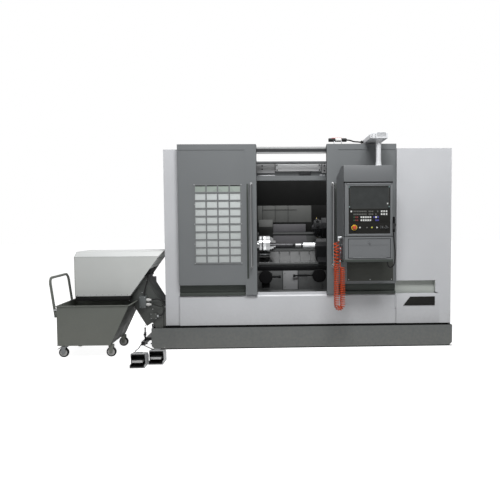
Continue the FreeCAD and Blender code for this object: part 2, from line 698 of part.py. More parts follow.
# ---------------------------------------------------------------- spindle line

def make_headstock():
    across = 230.0
    section = [on_slant(20, 0), on_slant(20, AXIS_HEIGHT - 40), on_slant(60, AXIS_HEIGHT + 110),
               on_slant(AXIS_ALONG + 110, AXIS_HEIGHT + 130), on_slant(AXIS_ALONG + across, AXIS_HEIGHT),
               on_slant(AXIS_ALONG + across, 0)]
    casting = plate_yz(section, HEADSTOCK_LEFT, HEADSTOCK_RIGHT)
    bore = rod(V(HEADSTOCK_LEFT - 1, AXIS_Y, AXIS_Z), V(HEADSTOCK_RIGHT + 1, AXIS_Y, AXIS_Z),
               SPINDLE_RADIUS + RUNNING_FIT)
    nodes["headstock"] = casting.cut(bore)

    # spindle, pulley and chuck body turn as one
    axis_start = V(0, AXIS_Y, AXIS_Z)
    spindle = rod(V(HEADSTOCK_LEFT - PULLEY_GAP, AXIS_Y, AXIS_Z), V(CHUCK_LEFT + 1, AXIS_Y, AXIS_Z), SPINDLE_RADIUS)
    chuck = rod(V(CHUCK_LEFT, AXIS_Y, AXIS_Z), V(CHUCK_RIGHT, AXIS_Y, AXIS_Z), CHUCK_RADIUS)
    pulley_right = HEADSTOCK_LEFT - PULLEY_GAP
    pulley = prism(V(pulley_right - PULLEY_WIDTH, AXIS_Y, AXIS_Z), V(pulley_right, AXIS_Y, AXIS_Z), PULLEY_RADIUS)
    body = fused(spindle, chuck, pulley)
    slots = []
    for jaw in range(JAW_COUNT):
        slot = block(CHUCK_RIGHT - 26, CHUCK_RIGHT + 1, -JAW_WIDTH / 2 + 6 - RUNNING_GAP,
                     JAW_WIDTH / 2 - 6 + RUNNING_GAP, JAW_INNER - 4, CHUCK_RADIUS + 4)
        slot.rotate(V(0, 0, 0), X_AXIS, 360 * jaw / JAW_COUNT)
        slot.translate(axis_start)
        slots.append(slot)
    nodes["spindle_chuck"] = body.cut(Part.makeCompound(slots))

    # stepped top jaws on their keys
    for jaw in range(JAW_COUNT):
        grip = WORK_RADIUS + SEAT
        steps = plate_xz([
            (CHUCK_RIGHT + RUNNING_GAP, grip + 4), (CHUCK_RIGHT + 44, grip + 4), (CHUCK_RIGHT + 44, grip),
            (CHUCK_RIGHT + JAW_LENGTH, grip), (CHUCK_RIGHT + JAW_LENGTH, grip + 26),
            (CHUCK_RIGHT + 40, grip + 30), (CHUCK_RIGHT + 40, grip + 58), (CHUCK_RIGHT + 22, grip + 58),
            (CHUCK_RIGHT + 22, CHUCK_RADIUS - JAW_TRAVEL - 12),
            (CHUCK_RIGHT + RUNNING_GAP, CHUCK_RADIUS - JAW_TRAVEL - 12)], -JAW_WIDTH / 2, JAW_WIDTH / 2)
        key = block(CHUCK_RIGHT - 26 + RUNNING_GAP, CHUCK_RIGHT + 1, -JAW_WIDTH / 2 + 6, JAW_WIDTH / 2 - 6,
                    JAW_INNER + 8, CHUCK_RADIUS - JAW_TRAVEL - 14)
        solid = fused(steps, key)
        solid.rotate(V(0, 0, 0), X_AXIS, 360 * jaw / JAW_COUNT)
        solid.translate(axis_start)
        nodes["chuck_jaw_" + str(jaw + 1)] = solid

    start = CHUCK_RIGHT + SEAT
    end = start + WORK_LENGTH + 56
    point = 22.0
    bar = rod(V(start, AXIS_Y, AXIS_Z), V(end, AXIS_Y, AXIS_Z), WORK_RADIUS)
    dimple = turned([(end - point, 0.01), (end + 1, 11.5)], axis_start, X_AXIS)
    nodes["workpiece"] = bar.cut(dimple)
    return end


def make_tailstock(work_end):
    axis_start = V(0, AXIS_Y, AXIS_Z)
    quill_left = TAILSTOCK_LEFT - QUILL_OUT
    # live centre: 60 degree point seated in the workpiece's centre hole
    tip = work_end - 16
    shank_end = quill_left + 70
    nodes["live_centre"] = turned([(tip, 0.01), (tip + 46, 26), (shank_end, 26)], axis_start, X_AXIS)
    quill = rod(V(quill_left, AXIS_Y, AXIS_Z), V(TAILSTOCK_LEFT + TAILSTOCK_LENGTH - 60, AXIS_Y, AXIS_Z),
                QUILL_RADIUS)
    socket = rod(V(quill_left - 1, AXIS_Y, AXIS_Z), V(shank_end + 1, AXIS_Y, AXIS_Z), 26 + RUNNING_FIT)
    nodes["quill"] = quill.cut(socket)

    half = TAILSTOCK_HALF
    upper = [on_slant(AXIS_ALONG - half, WAY_HEIGHT + TAILSTOCK_BASE / 2), on_slant(AXIS_ALONG - half, AXIS_HEIGHT + 30),
             on_slant(AXIS_ALONG - half / 2, AXIS_HEIGHT + half), on_slant(AXIS_ALONG + half / 2, AXIS_HEIGHT + half),
             on_slant(AXIS_ALONG + half, AXIS_HEIGHT + 30), on_slant(AXIS_ALONG + half, WAY_HEIGHT + TAILSTOCK_BASE / 2)]
    body = plate_yz(upper, TAILSTOCK_LEFT, TAILSTOCK_LEFT + TAILSTOCK_LENGTH)
    lift = WAY_HEIGHT + RUNNING_GAP
    base = plate_yz([
        on_slant(FRONT_WAYS[0] - 6, lift), on_slant(FRONT_WAYS[0] - 6, lift + TAILSTOCK_BASE),
        on_slant(FRONT_WAYS[1] + WAY_WIDTH + 4, lift + TAILSTOCK_BASE), on_slant(FRONT_WAYS[1] + WAY_WIDTH + 4, lift)],
        TAILSTOCK_LEFT + 20, TAILSTOCK_LEFT + TAILSTOCK_LENGTH + 20)
    bore = rod(V(TAILSTOCK_LEFT - 1, AXIS_Y, AXIS_Z),
               V(TAILSTOCK_LEFT + TAILSTOCK_LENGTH + 41, AXIS_Y, AXIS_Z), QUILL_RADIUS + RUNNING_FIT)
    nodes["tailstock"] = fused(body, base).cut(bore)


def make_carriage():
    lift = WAY_HEIGHT + RUNNING_GAP
    saddle_top = lift + SADDLE_THICKNESS
    first = REAR_WAYS[0] - 14
    last = REAR_WAYS[1] + WAY_WIDTH + 14
    saddle = plate_yz([on_slant(first, lift), on_slant(first, saddle_top), on_slant(last, saddle_top),
                       on_slant(last, lift)], SADDLE_LEFT, SADDLE_LEFT + SADDLE_LENGTH)
    # dovetail that guides the cross slide up and down the slant
    tail_top = saddle_top + 14
    middle = SADDLE_LEFT + SADDLE_LENGTH / 2
    tail = fused(*[plate_yz([
        on_slant(first, saddle_top), on_slant(first, tail_top), on_slant(last, tail_top),
        on_slant(last, saddle_top)], x, x + 30) for x in (middle - 100, middle + 70)])
    nodes["saddle"] = fused(saddle, tail)

    low = tail_top + RUNNING_GAP
    slide = plate_yz([
        on_slant(TURRET_ALONG - SLIDE_REACH, low), on_slant(TURRET_ALONG - SLIDE_REACH, low + SLIDE_THICKNESS),
        on_slant(last - 20, low + SLIDE_THICKNESS), on_slant(last - 20, low)],
        SADDLE_LEFT + 20, SADDLE_LEFT + SADDLE_LENGTH - 20)
    top = low + SLIDE_THICKNESS
    housing = plate_yz([
        on_slant(TURRET_ALONG - 110, top - 1), on_slant(TURRET_ALONG - 110, AXIS_HEIGHT + 60),
        on_slant(TURRET_ALONG - 60, AXIS_HEIGHT + 110), on_slant(TURRET_ALONG + 60, AXIS_HEIGHT + 110),
        on_slant(TURRET_ALONG + 110, AXIS_HEIGHT + 60), on_slant(TURRET_ALONG + 110, top - 1)],
        TURRET_LEFT + TURRET_THICKNESS + RUNNING_GAP, SADDLE_LEFT + SADDLE_LENGTH - 60)
    motor = prism(V(SADDLE_LEFT + SADDLE_LENGTH - 61, TURRET_Y, TURRET_Z),
                  V(SADDLE_LEFT + SADDLE_LENGTH + 60, TURRET_Y, TURRET_Z), 62)
    nodes["cross_slide"] = fused(slide, housing, motor)

    # turret disc: flats for the stations, each with a tool block and a bar
    corners = []
    for step in range(TURRET_STATIONS):
        angle = math.radians(360 * (step + 0.5) / TURRET_STATIONS)
        corners.append((TURRET_RADIUS * math.cos(angle), TURRET_RADIUS * math.sin(angle)))
    disc = plate_yz(corners, TURRET_LEFT, TURRET_LEFT + TURRET_THICKNESS)
    flat = TURRET_RADIUS * math.cos(math.pi / TURRET_STATIONS)
    tools = []
    for step in range(TURRET_STATIONS):
        holder = block(TURRET_LEFT + 22, TURRET_LEFT + 22 + TOOL_WIDTH + 12, -TOOL_WIDTH / 2 - 6,
                       TOOL_WIDTH / 2 + 6, flat - 1, flat + TOOL_BLOCK)
        reach = TOOL_REACH if step % 2 else (TOOL_REACH + TOOL_BLOCK) / 2
        bar = block(TURRET_LEFT + 30, TURRET_LEFT + 30 + TOOL_WIDTH - 8, -8, 8, flat + TOOL_BLOCK - 1, flat + reach)
        tool = fused(holder, bar)
        tool.rotate(V(0, 0, 0), X_AXIS, 360 * step / TURRET_STATIONS)
        tools.append(tool)
    disc = fused(disc, *tools)
    disc.rotate(V(0, 0, 0), X_AXIS, SLANT)
    disc.translate(V(0, TURRET_Y, TURRET_Z))
    nodes["turret_disc"] = disc


# ---------------------------------------------------------------- pendant

def make_pendant():
    back = PENDANT_FRONT + PENDANT_DEPTH
    outline = [
        (PENDANT_LEFT, PENDANT_FRONT + HOOD_LIP), (PENDANT_RIGHT, PENDANT_FRONT + HOOD_LIP),
        (PENDANT_RIGHT, back), (PENDANT_LEFT - PENDANT_FLARE, back)]
    case = plate_xy(outline, PENDANT_LOW, PENDANT_HIGH)
    # the roof falls away to the back
    roof = plate_yz([
        (PENDANT_FRONT + 90, PENDANT_HIGH), (back + 1, PENDANT_HIGH - 105), (back + 1, PENDANT_HIGH + 1),
        (PENDANT_FRONT + 90, PENDANT_HIGH + 1)], PENDANT_LEFT - PENDANT_FLARE - 1, POST_X - POST_RADIUS - 24)
    hood = plate_yz([
        (PENDANT_FRONT + HOOD_LIP, PENDANT_HIGH - HOOD_HEIGHT), (PENDANT_FRONT, PENDANT_HIGH - HOOD_HEIGHT + 10),
        (PENDANT_FRONT, PENDANT_HIGH - 12), (PENDANT_FRONT + 12, PENDANT_HIGH),
        (PENDANT_FRONT + HOOD_LIP, PENDANT_HIGH)], PENDANT_LEFT, PENDANT_RIGHT)
    face = block(PENDANT_LEFT + 10, PENDANT_RIGHT - 6, PENDANT_FRONT, PENDANT_FRONT + HOOD_LIP + 1,
                 PENDANT_LOW, PENDANT_HIGH - HOOD_HEIGHT - 14)
    window = block(PANEL_LEFT, PANEL_LEFT + PANEL_WIDTH, PENDANT_FRONT - 1, PENDANT_FRONT + PANEL_THICKNESS + 3,
                   PANEL_LOW, PANEL_LOW + PANEL_HEIGHT)
    door = block(PANEL_LEFT - SEAT, PANEL_LEFT + PANEL_WIDTH + SEAT, PENDANT_FRONT - 1,
                 PENDANT_FRONT + FLAP_THICKNESS, FLAP_LOW - SEAT, FLAP_LOW + FLAP_HEIGHT + SEAT)
    pocket = block(PANEL_LEFT + 20, PANEL_LEFT + PANEL_WIDTH - 20, PENDANT_FRONT, PENDANT_FRONT + 130,
                   FLAP_LOW + 14, FLAP_LOW + FLAP_HEIGHT - 14)
    socket = rod(V(POST_X, POST_Y, PENDANT_HIGH - 60), V(POST_X, POST_Y, PENDANT_HIGH + 1),
                 POST_RADIUS - 6 + RUNNING_FIT)
    # air outlet on the left side: a boss with an elbow that points down
    share = (COIL_Y - PENDANT_FRONT) / PENDANT_DEPTH
    wall_x = PENDANT_LEFT - PENDANT_FLARE * share
    coil_start = COIL_X + (COIL_OUTER - HOSE_DIAMETER) / 2
    outlet = fused(
        block(coil_start - 9, wall_x + 30, COIL_Y - 9, COIL_Y + 9, OUTLET_LOW + 14, OUTLET_LOW + 32),
        prism(V(coil_start, COIL_Y, OUTLET_LOW + 15), V(coil_start, COIL_Y, OUTLET_LOW), 8))
    gun_x, gun_low = gun_foot()
    peg = prism(V(wall_x + 30, COIL_Y, gun_low + GUN_PEG), V(gun_x - 16, COIL_Y, gun_low + GUN_PEG), 4)
    case = case.cut(roof)
    case = fused(case, hood, face, outlet, peg)
    panel_back = PENDANT_FRONT + PANEL_THICKNESS
    well = prism(V(estop_x(), panel_back, estop_z()), V(estop_x(), panel_back + ESTOP_TRAVEL + 4, estop_z()),
                 ESTOP_STEM + 2 * RUNNING_GAP)
    nodes["pendant_housing"] = case.cut(Part.makeCompound([window, door, pocket])).cut(socket).cut(well)

    front = PENDANT_FRONT + 3
    nodes["operator_panel"] = block(
        PANEL_LEFT, PANEL_LEFT + PANEL_WIDTH, front, front + PANEL_THICKNESS, PANEL_LOW,
        PANEL_LOW + PANEL_HEIGHT).cut(Part.makeCompound([
            block(PANEL_LEFT + 24, PANEL_LEFT + PANEL_WIDTH - 24, front - 1, front + 3,
                  PANEL_LOW + PANEL_HEIGHT - SCREEN_HEIGHT, PANEL_LOW + PANEL_HEIGHT - 18),
            prism(V(estop_x(), front - 1, estop_z()), V(estop_x(), front + PANEL_THICKNESS + 1, estop_z()),
                  ESTOP_STEM + 2 * RUNNING_GAP)]))
    nodes["screen"] = block(PANEL_LEFT + 24 + SEAT, PANEL_LEFT + PANEL_WIDTH - 24 - SEAT, front + 0.5, front + 3,
                            PANEL_LOW + PANEL_HEIGHT - SCREEN_HEIGHT + SEAT,
                            PANEL_LOW + PANEL_HEIGHT - 18 - SEAT)

    # keypad: one moulded mat whose keys stand up in rows
    mat_low = PANEL_LOW + 96
    mat_high = PANEL_LOW + 226
    mat = block(PANEL_LEFT + 20, PANEL_LEFT + PANEL_WIDTH - 20, front - 1.5, front, mat_low, mat_high)
    keys = []
    rows = 3
    groups = ((28, 1, 34), (70, 3, 36), (190, 3, 40), (322, 2, 31))
    row_pitch = (mat_high - mat_low - 10) / rows
    for row in range(rows):
        z = mat_low + 8 + row * row_pitch
        for start, count, pitch in groups:
            for column in range(count):
                x = PANEL_LEFT + start + column * pitch
                keys.append(block(x, x + pitch - 10, front - 4, front - 1, z, z + row_pitch - 9))
    nodes["keypad"] = fused(mat, *keys)

    # emergency stop: mushroom head on its stem
    head = front - 26
    cap = stack([(0, 5, ESTOP_RADIUS - 4), (4, 13, ESTOP_RADIUS)], V(estop_x(), head, estop_z()), Y_AXIS, ROUND_SIDES)
    stem = prism(V(estop_x(), head + 12, estop_z()), V(estop_x(), front + PANEL_THICKNESS - 1, estop_z()),
                 ESTOP_STEM)
    nodes["e_stop_button"] = fused(cap, stem)
    for index, name in enumerate(("feed_override_knob", "spindle_override_knob")):
        knob = prism(V(knob_x(index), front - 17, estop_z()), V(knob_x(index), front - SEAT, estop_z()),
                     KNOB_RADIUS, ROUND_SIDES)
        mark = block(knob_x(index) - 1.5, knob_x(index) + 1.5, front - 19, front - 16, estop_z(),
                     estop_z() + KNOB_RADIUS - 3)
        nodes[name] = fused(knob, mark)

    # document box door, hinged along its lower edge, with a round lock
    flap = block(PANEL_LEFT, PANEL_LEFT + PANEL_WIDTH, PENDANT_FRONT - 1, PENDANT_FRONT + FLAP_THICKNESS - SEAT,
                 FLAP_LOW, FLAP_LOW + FLAP_HEIGHT)
    lock_z = FLAP_LOW + FLAP_HEIGHT - 34
    lock = prism(V(PANEL_LEFT + PANEL_WIDTH / 2, PENDANT_FRONT - 9, lock_z),
                 V(PANEL_LEFT + PANEL_WIDTH / 2, PENDANT_FRONT, lock_z), 13, ROUND_SIDES)
    field = block(PANEL_LEFT + 14, PANEL_LEFT + PANEL_WIDTH - 14, PENDANT_FRONT - 2, PENDANT_FRONT + 1,
                  FLAP_LOW + 12, FLAP_LOW + FLAP_HEIGHT - 60)
    barrel = rod(V(PANEL_LEFT + 40, PENDANT_FRONT - HINGE_RADIUS - SEAT, FLAP_LOW),
                 V(PANEL_LEFT + PANEL_WIDTH - 40, PENDANT_FRONT - HINGE_RADIUS - SEAT, FLAP_LOW), HINGE_RADIUS)
    nodes["document_door"] = fused(flap.cut(field), lock, barrel)

    # hand-held pulse unit in its holder on the right side
    side = PENDANT_RIGHT
    unit_back = PENDANT_FRONT + HANDSET_BACK
    unit_front = unit_back - HANDSET_DEPTH
    unit_y = unit_back - HANDSET_DEPTH / 2
    unit_top = HANDSET_LOW + HANDSET_HEIGHT
    dial_z = unit_top - 70
    face = side + HANDSET_THICKNESS
    nodes["pulse_handset"] = fused(
        plate_yz([(unit_front, HANDSET_LOW), (unit_front, unit_top - 8), (unit_back - 12, unit_top),
                  (unit_back, HANDSET_LOW)], side, face),
        prism(V(face - 1, unit_y, dial_z), V(face + 8, unit_y, dial_z), 17, ROUND_SIDES))

    # cable under the handset, held by the pendant's side at both ends
    route = [V(side + 16, unit_y, HANDSET_LOW - SEAT), V(side + 27, unit_y, PENDANT_LOW + 140),
             V(side + 33, unit_y, PENDANT_LOW + 45), V(side + 22, unit_y, PENDANT_LOW - 25),
             V(side - 18, unit_y, PENDANT_LOW - 72), V(side - 62, unit_y, PENDANT_LOW - 60),
             V(side - 78, unit_y, PENDANT_LOW - 2)]
    nodes["handset_cable"] = mitred(route, 5, CABLE_SIDES)

    # arm: a louvred head bolted behind the top rail, with the post that carries the pendant
    rail_back = BODY_FRONT + RAIL_DEPTH
    arm_back = rail_back + 64
    head_box = plate_yz([
        (ARM_FRONT, ARM_LOW), (ARM_FRONT, ARM_HIGH - ARM_CORNER), (ARM_FRONT + ARM_CORNER, ARM_HIGH),
        (arm_back, ARM_HIGH),
        (arm_back, RAIL_LOW), (rail_back, RAIL_LOW), (rail_back, ARM_LOW)], ARM_LEFT, ARM_RIGHT)
    slope = plate_xz([(ARM_LEFT - 1, ARM_HIGH - 44), (ARM_LEFT + 40, ARM_HIGH + 1), (ARM_LEFT - 1, ARM_HIGH + 1)],
                     ARM_FRONT - 1, arm_back + 1)
    louvres = []
    for row in range(ARM_LOUVRES):
        z = ARM_LOW + 18 + row * 12
        louvres.append(block(ARM_LEFT + 70, ARM_RIGHT - 20, ARM_FRONT - 1, ARM_FRONT + 4, z, z + 5))
    post = turned([
        (PENDANT_HIGH - 58, POST_RADIUS - 6), (PENDANT_HIGH + SEAT, POST_RADIUS - 6),
        (PENDANT_HIGH + SEAT, POST_RADIUS), (ARM_LOW + 1, POST_RADIUS)], V(POST_X, POST_Y, 0), Z_AXIS)
    nodes["pendant_arm"] = fused(head_box.cut(slope).cut(Part.makeCompound(louvres)), post)

    # machine lamp behind the top rail, with its lead into the arm head
    lamp_y = rail_back + 36
    lamp_z = RAIL_HIGH + 34
    lamp = stack([(300, 352, 20), (352, 392, 28), (392, 446, 20)], V(0, lamp_y, lamp_z), X_AXIS)
    stand = block(360, 384, rail_back, lamp_y + 10, RAIL_HIGH - 30, lamp_z - 20)
    route = [V(445, lamp_y, lamp_z), V(520, lamp_y, lamp_z - 6), V(600, lamp_y, lamp_z + 16),
             V(ARM_LEFT - SEAT, lamp_y, lamp_z + 16)]
    nodes["machine_lamp"] = fused(lamp, stand, mitred(route, 5, CABLE_SIDES))


def estop_x():
    return PANEL_LEFT + 58


def estop_z():
    return PANEL_LOW + 62


def knob_x(index):
    return PANEL_LEFT + 338 + index * 46


# ---------------------------------------------------------------- coiled air hose

def coil_place(turn):
    """Centre of the hose after a number of turns: down the long leg, round the U, up the short leg."""
    radius = (COIL_OUTER - HOSE_DIAMETER) / 2
    angle = 2 * math.pi * turn
    depth = COIL_Y + radius * math.sin(angle)
    if turn <= LONG_LEG_TURNS:
        fall = (LONG_LEG_TOP - COIL_LOW) * turn / LONG_LEG_TURNS
        return V(COIL_X + radius * math.cos(angle), depth, LONG_LEG_TOP - fall)
    if turn <= LONG_LEG_TURNS + 1:
        sweep = math.pi * (turn - LONG_LEG_TURNS)
        reach = COIL_SPACING / 2 - radius * math.cos(angle)
        return V(COIL_X + COIL_SPACING / 2 - reach * math.cos(sweep), depth, COIL_LOW - reach * math.sin(sweep))
    climbed = (turn - LONG_LEG_TURNS - 1) / SHORT_LEG_TURNS
    rise = (SHORT_LEG_TOP - COIL_LOW) * climbed
    return V(COIL_X + COIL_SPACING - radius * math.cos(angle), depth, COIL_LOW + rise)


def measured_gap(points):
    """Least distance from the hose to its own turns, a third of a turn or more away."""
    fine = []
    parts = 4
    for start, end in zip(points, points[1:]):
        for step in range(parts):
            fine.append(start + (end - start) * (step / parts))
    apart = parts * HOSE_STEPS // 3 + 1
    window = parts * HOSE_STEPS * 3
    least = COIL_OUTER
    for index, place in enumerate(fine):
        for other in fine[index + apart:index + window]:
            least = min(least, place.distanceToPoint(other))
    return least - HOSE_DIAMETER


def make_hose():
    """One unbroken hose: straight from the outlet, coiled down, round the U and up, straight into the gun."""
    turns = LONG_LEG_TURNS + 1 + SHORT_LEG_TURNS
    coil = [coil_place(step / HOSE_STEPS) for step in range(turns * HOSE_STEPS + 1)]
    gun_x, gun_low = gun_foot()
    top = V(coil[0].x, coil[0].y, OUTLET_LOW - SEAT)
    bottom = V(gun_x, COIL_Y, gun_low - SEAT)
    print("least gap of the coiled hose to itself", round(measured_gap(coil), 2))
    route = [top] + coil + [bottom]
    hose = mitred(route, HOSE_DIAMETER / 2, HOSE_SIDES)
    section = HOSE_SIDES / 2 * math.sin(2 * math.pi / HOSE_SIDES) * (HOSE_DIAMETER / 2) ** 2
    length = Part.makePolygon(route).Length
    print("hose length", round(length), "volume over section times length", round(hose.Volume / (section * length), 3))
    nodes["air_hose"] = hose

    # blow gun hanging on its peg by the ring at the top
    body = block(gun_x - 10, gun_x + 10, COIL_Y - 13, COIL_Y + 13, gun_low, gun_low + 148)
    ring = block(gun_x - 5, gun_x + 5, COIL_Y - 11, COIL_Y + 11, gun_low + 147, gun_low + GUN_PEG + 14)
    hole = block(gun_x - 6, gun_x + 6, COIL_Y - 7, COIL_Y + 7, gun_low + 154, gun_low + GUN_PEG + 4 + SEAT)
    nozzle = fused(block(gun_x - 7, gun_x + 7, COIL_Y - 40, COIL_Y - 12, gun_low + 124, gun_low + 140),
                   prism(V(gun_x, COIL_Y - 39, gun_low + 132), V(gun_x, COIL_Y - 92, gun_low + 132), 4))
    lever = plate_yz([
        (COIL_Y - 13, gun_low + 112), (COIL_Y - 30, gun_low + 88), (COIL_Y - 26, gun_low + 30),
        (COIL_Y - 20, gun_low + 30), (COIL_Y - 22, gun_low + 84), (COIL_Y - 13, gun_low + 98)],
        gun_x - 6, gun_x + 6)
    nodes["air_gun"] = fused(body, ring.cut(hole), nozzle, lever)


def gun_foot():
    """Where the hose enters the gun: above the last turn of the short leg."""
    return COIL_X + COIL_SPACING - (COIL_OUTER - HOSE_DIAMETER) / 2, GUN_LOW


# ---------------------------------------------------------------- chip conveyor

def make_conveyor():
    slope = math.radians(TRUNK_SLOPE)
    run = V(-math.cos(slope), 0, math.sin(slope))
    out = V(math.sin(slope), 0, math.cos(slope))
    foot = V(TRUNK_FOOT, 0, TANK_HEIGHT)

    def on_trunk(along, height):
        place = foot + run * along + out * height
        return place.x, place.z

    # the slanted end of the hood, as a line the trunk ends on
    low = V(HOOD_LOW_RIGHT, 0, HOOD_LOW)
    slant = V(HOOD_RIGHT, 0, HOOD_HIGH) - low
    slant.normalize()

    def length_to_hood(height):
        place = foot + out * height
        side = low - place
        return (side.x * slant.z - side.z * slant.x) / (run.x * slant.z - run.z * slant.x)

    back = TRUNK_FRONT + TRUNK_WIDTH
    floor = TRAY
    down = -(TANK_HEIGHT - floor) / math.sin(slope)
    section = [
        on_trunk(down, 0), on_trunk(length_to_hood(0) - 1, 0), on_trunk(length_to_hood(TRUNK_THICKNESS) - 1, TRUNK_THICKNESS),
    ]
    top_end = on_trunk(0, TRUNK_THICKNESS)
    along = (COLLAR_LEFT - top_end[0]) / run.x
    section.append((COLLAR_LEFT, top_end[1] + along * run.z))
    section += [(COLLAR_LEFT, floor)]
    trunk = plate_xz(section, TRUNK_FRONT, back)
    # inside: the way of the belt, open towards the hood
    wall = TRUNK_WALL
    channel = [on_trunk(60, wall), on_trunk(length_to_hood(wall) + 40, wall),
               on_trunk(length_to_hood(TRUNK_THICKNESS - wall) + 40, TRUNK_THICKNESS - wall),
               on_trunk(60, TRUNK_THICKNESS - wall)]
    trunk = trunk.cut(plate_xz(channel, TRUNK_FRONT + wall, back - wall))
    flange_out = TRUNK_FLANGE
    flange = plate_xz([
        on_trunk(length_to_hood(-flange_out) - 12, -flange_out), on_trunk(length_to_hood(-flange_out) - 2, -flange_out),
        on_trunk(length_to_hood(TRUNK_THICKNESS + flange_out) - 2, TRUNK_THICKNESS + flange_out),
        on_trunk(length_to_hood(TRUNK_THICKNESS + flange_out) - 12, TRUNK_THICKNESS + flange_out)],
        TRUNK_FRONT - flange_out, back + flange_out)
    mouth = plate_xz([
        on_trunk(length_to_hood(0) - 20, 0.5), on_trunk(length_to_hood(0) + 20, 0.5),
        on_trunk(length_to_hood(TRUNK_THICKNESS) + 20, TRUNK_THICKNESS - 0.5),
        on_trunk(length_to_hood(TRUNK_THICKNESS) - 20, TRUNK_THICKNESS - 0.5)], TRUNK_FRONT + 0.5, back - 0.5)
    collar = block(COLLAR_LEFT, BODY_LEFT, TRUNK_FRONT + 20, back + 30, BODY_FOOT, 452)
    seat_block = block(COLLAR_LEFT, BODY_LEFT + PLINTH_INSET, TRUNK_FRONT + 40, back, TRAY, BODY_FOOT)
    frame = fused(trunk, flange.cut(mouth), collar, seat_block)
    junction_right = JUNCTION_LEFT + JUNCTION_WIDTH
    plug_y = TRUNK_FRONT - JUNCTION_DEPTH / 2
    plug_z = JUNCTION_LOW + JUNCTION_HEIGHT / 2
    junction = block(JUNCTION_LEFT, junction_right, TRUNK_FRONT - JUNCTION_DEPTH, TRUNK_FRONT,
                     JUNCTION_LOW, JUNCTION_LOW + JUNCTION_HEIGHT)
    plug = prism(V(junction_right - 1, plug_y, plug_z), V(junction_right + 40, plug_y, plug_z - 8), 11)
    nodes["conveyor_trunk"] = fused(frame, junction, plug)

    # hood: a folded housing, open over the cart and towards the trunk
    hood_back = HOOD_FRONT + HOOD_WIDTH
    outline = [(HOOD_LEFT, HOOD_LOW), (HOOD_LEFT, HOOD_HIGH), (HOOD_RIGHT, HOOD_HIGH),
               (HOOD_LOW_RIGHT, HOOD_LOW)]
    hood = plate_xz(outline, HOOD_FRONT, hood_back)
    bevel = plate_yz([
        (HOOD_FRONT - 1, HOOD_HIGH - HOOD_BEVEL), (HOOD_FRONT - 1, HOOD_HIGH + 1),
        (HOOD_FRONT + HOOD_BEVEL * 1.4, HOOD_HIGH + 1), (HOOD_FRONT, HOOD_HIGH - HOOD_BEVEL)],
        HOOD_LEFT - 1, HOOD_RIGHT + 1)
    inside = [(HOOD_LEFT + SHEET, HOOD_LOW - 1), (HOOD_LEFT + SHEET, HOOD_HIGH - SHEET - 24),
              (HOOD_RIGHT - SHEET - 42, HOOD_HIGH - SHEET - 24), (HOOD_LOW_RIGHT - 6, HOOD_LOW - 1)]
    cavity = plate_xz(inside, HOOD_FRONT + SHEET + 24, hood_back - SHEET)
    trunk_mouth = plate_xz([
        on_trunk(length_to_hood(0) - 20, -6), on_trunk(length_to_hood(0) + 30, -6),
        on_trunk(length_to_hood(TRUNK_THICKNESS) + 30, TRUNK_THICKNESS - wall),
        on_trunk(length_to_hood(TRUNK_THICKNESS) - 20, TRUNK_THICKNESS - wall)], TRUNK_FRONT + wall, back - wall)
    nodes["conveyor_hood"] = hood.cut(bevel).cut(cavity).cut(trunk_mouth)

    # hinged belt: a flat band with flights, its head just inside the hood
    middle = TRUNK_THICKNESS / 2
    head = min(length_to_hood(0), length_to_hood(TRUNK_THICKNESS)) + 20
    tail = BELT_TAIL
    half = BELT_HALF
    band = []
    arc_steps = 6
    for step in range(arc_steps + 1):
        angle = math.pi * step / arc_steps
        band.append(on_trunk(head + half * math.sin(angle), middle + half * math.cos(angle)))
    for step in range(arc_steps + 1):
        angle = math.pi * step / arc_steps
        band.append(on_trunk(tail - half * math.sin(angle), middle - half * math.cos(angle)))
    inner = half - BELT_THICKNESS
    hole = []
    for step in range(arc_steps + 1):
        angle = math.pi * step / arc_steps
        hole.append(on_trunk(head + inner * math.sin(angle), middle + inner * math.cos(angle)))
    for step in range(arc_steps + 1):
        angle = math.pi * step / arc_steps
        hole.append(on_trunk(tail - inner * math.sin(angle), middle - inner * math.cos(angle)))
    belt_front = TRUNK_FRONT + wall + SEAT
    belt_back = back - wall - SEAT
    belt = plate_xz(band, belt_front, belt_back).cut(plate_xz(hole, belt_front - 1, belt_back + 1))
    flights = []
    place = tail
    while place < head:
        for side in (1, -1):
            edge = middle + side * half
            flights.append(plate_xz([
                on_trunk(place, edge - side), on_trunk(place, edge + side * 28),
                on_trunk(place + 6, edge + side * 28), on_trunk(place + 6, edge - side)],
                belt_front + 10, belt_back - 10))
        place += FLIGHT_PITCH
    nodes["conveyor_belt"] = fused(belt, *flights)

    shaft_x, shaft_z = on_trunk(head, middle)
    shaft_front = TRUNK_FRONT + wall + SEAT
    shaft_back = hood_back - SHEET - SEAT
    drum = prism(V(shaft_x, belt_front + 14, shaft_z), V(shaft_x, belt_back - 14, shaft_z), inner - 2)
    front_end = prism(V(shaft_x, shaft_front, shaft_z), V(shaft_x, belt_front + 15, shaft_z), SHAFT_RADIUS)
    journal = rod(V(shaft_x, belt_back - 15, shaft_z), V(shaft_x, shaft_back, shaft_z), SHAFT_RADIUS)
    nodes["conveyor_drive_shaft"] = fused(drum, front_end, journal)
    bearing = rod(V(shaft_x, back - wall - 1, shaft_z), V(shaft_x, back + flange_out + 1, shaft_z),
                  SHAFT_RADIUS + RUNNING_FIT)
    nodes["conveyor_trunk"] = nodes["conveyor_trunk"].cut(bearing)
    gearbox = block(shaft_x - 70, shaft_x + 70, hood_back, hood_back + 120, shaft_z - 60, shaft_z + 60)
    motor = prism(V(shaft_x - 69, hood_back + 62, shaft_z), V(shaft_x - 290, hood_back + 62, shaft_z), 58,
                  ROUND_SIDES)
    nodes["conveyor_gearmotor"] = fused(gearbox, motor)


# ---------------------------------------------------------------- chip cart

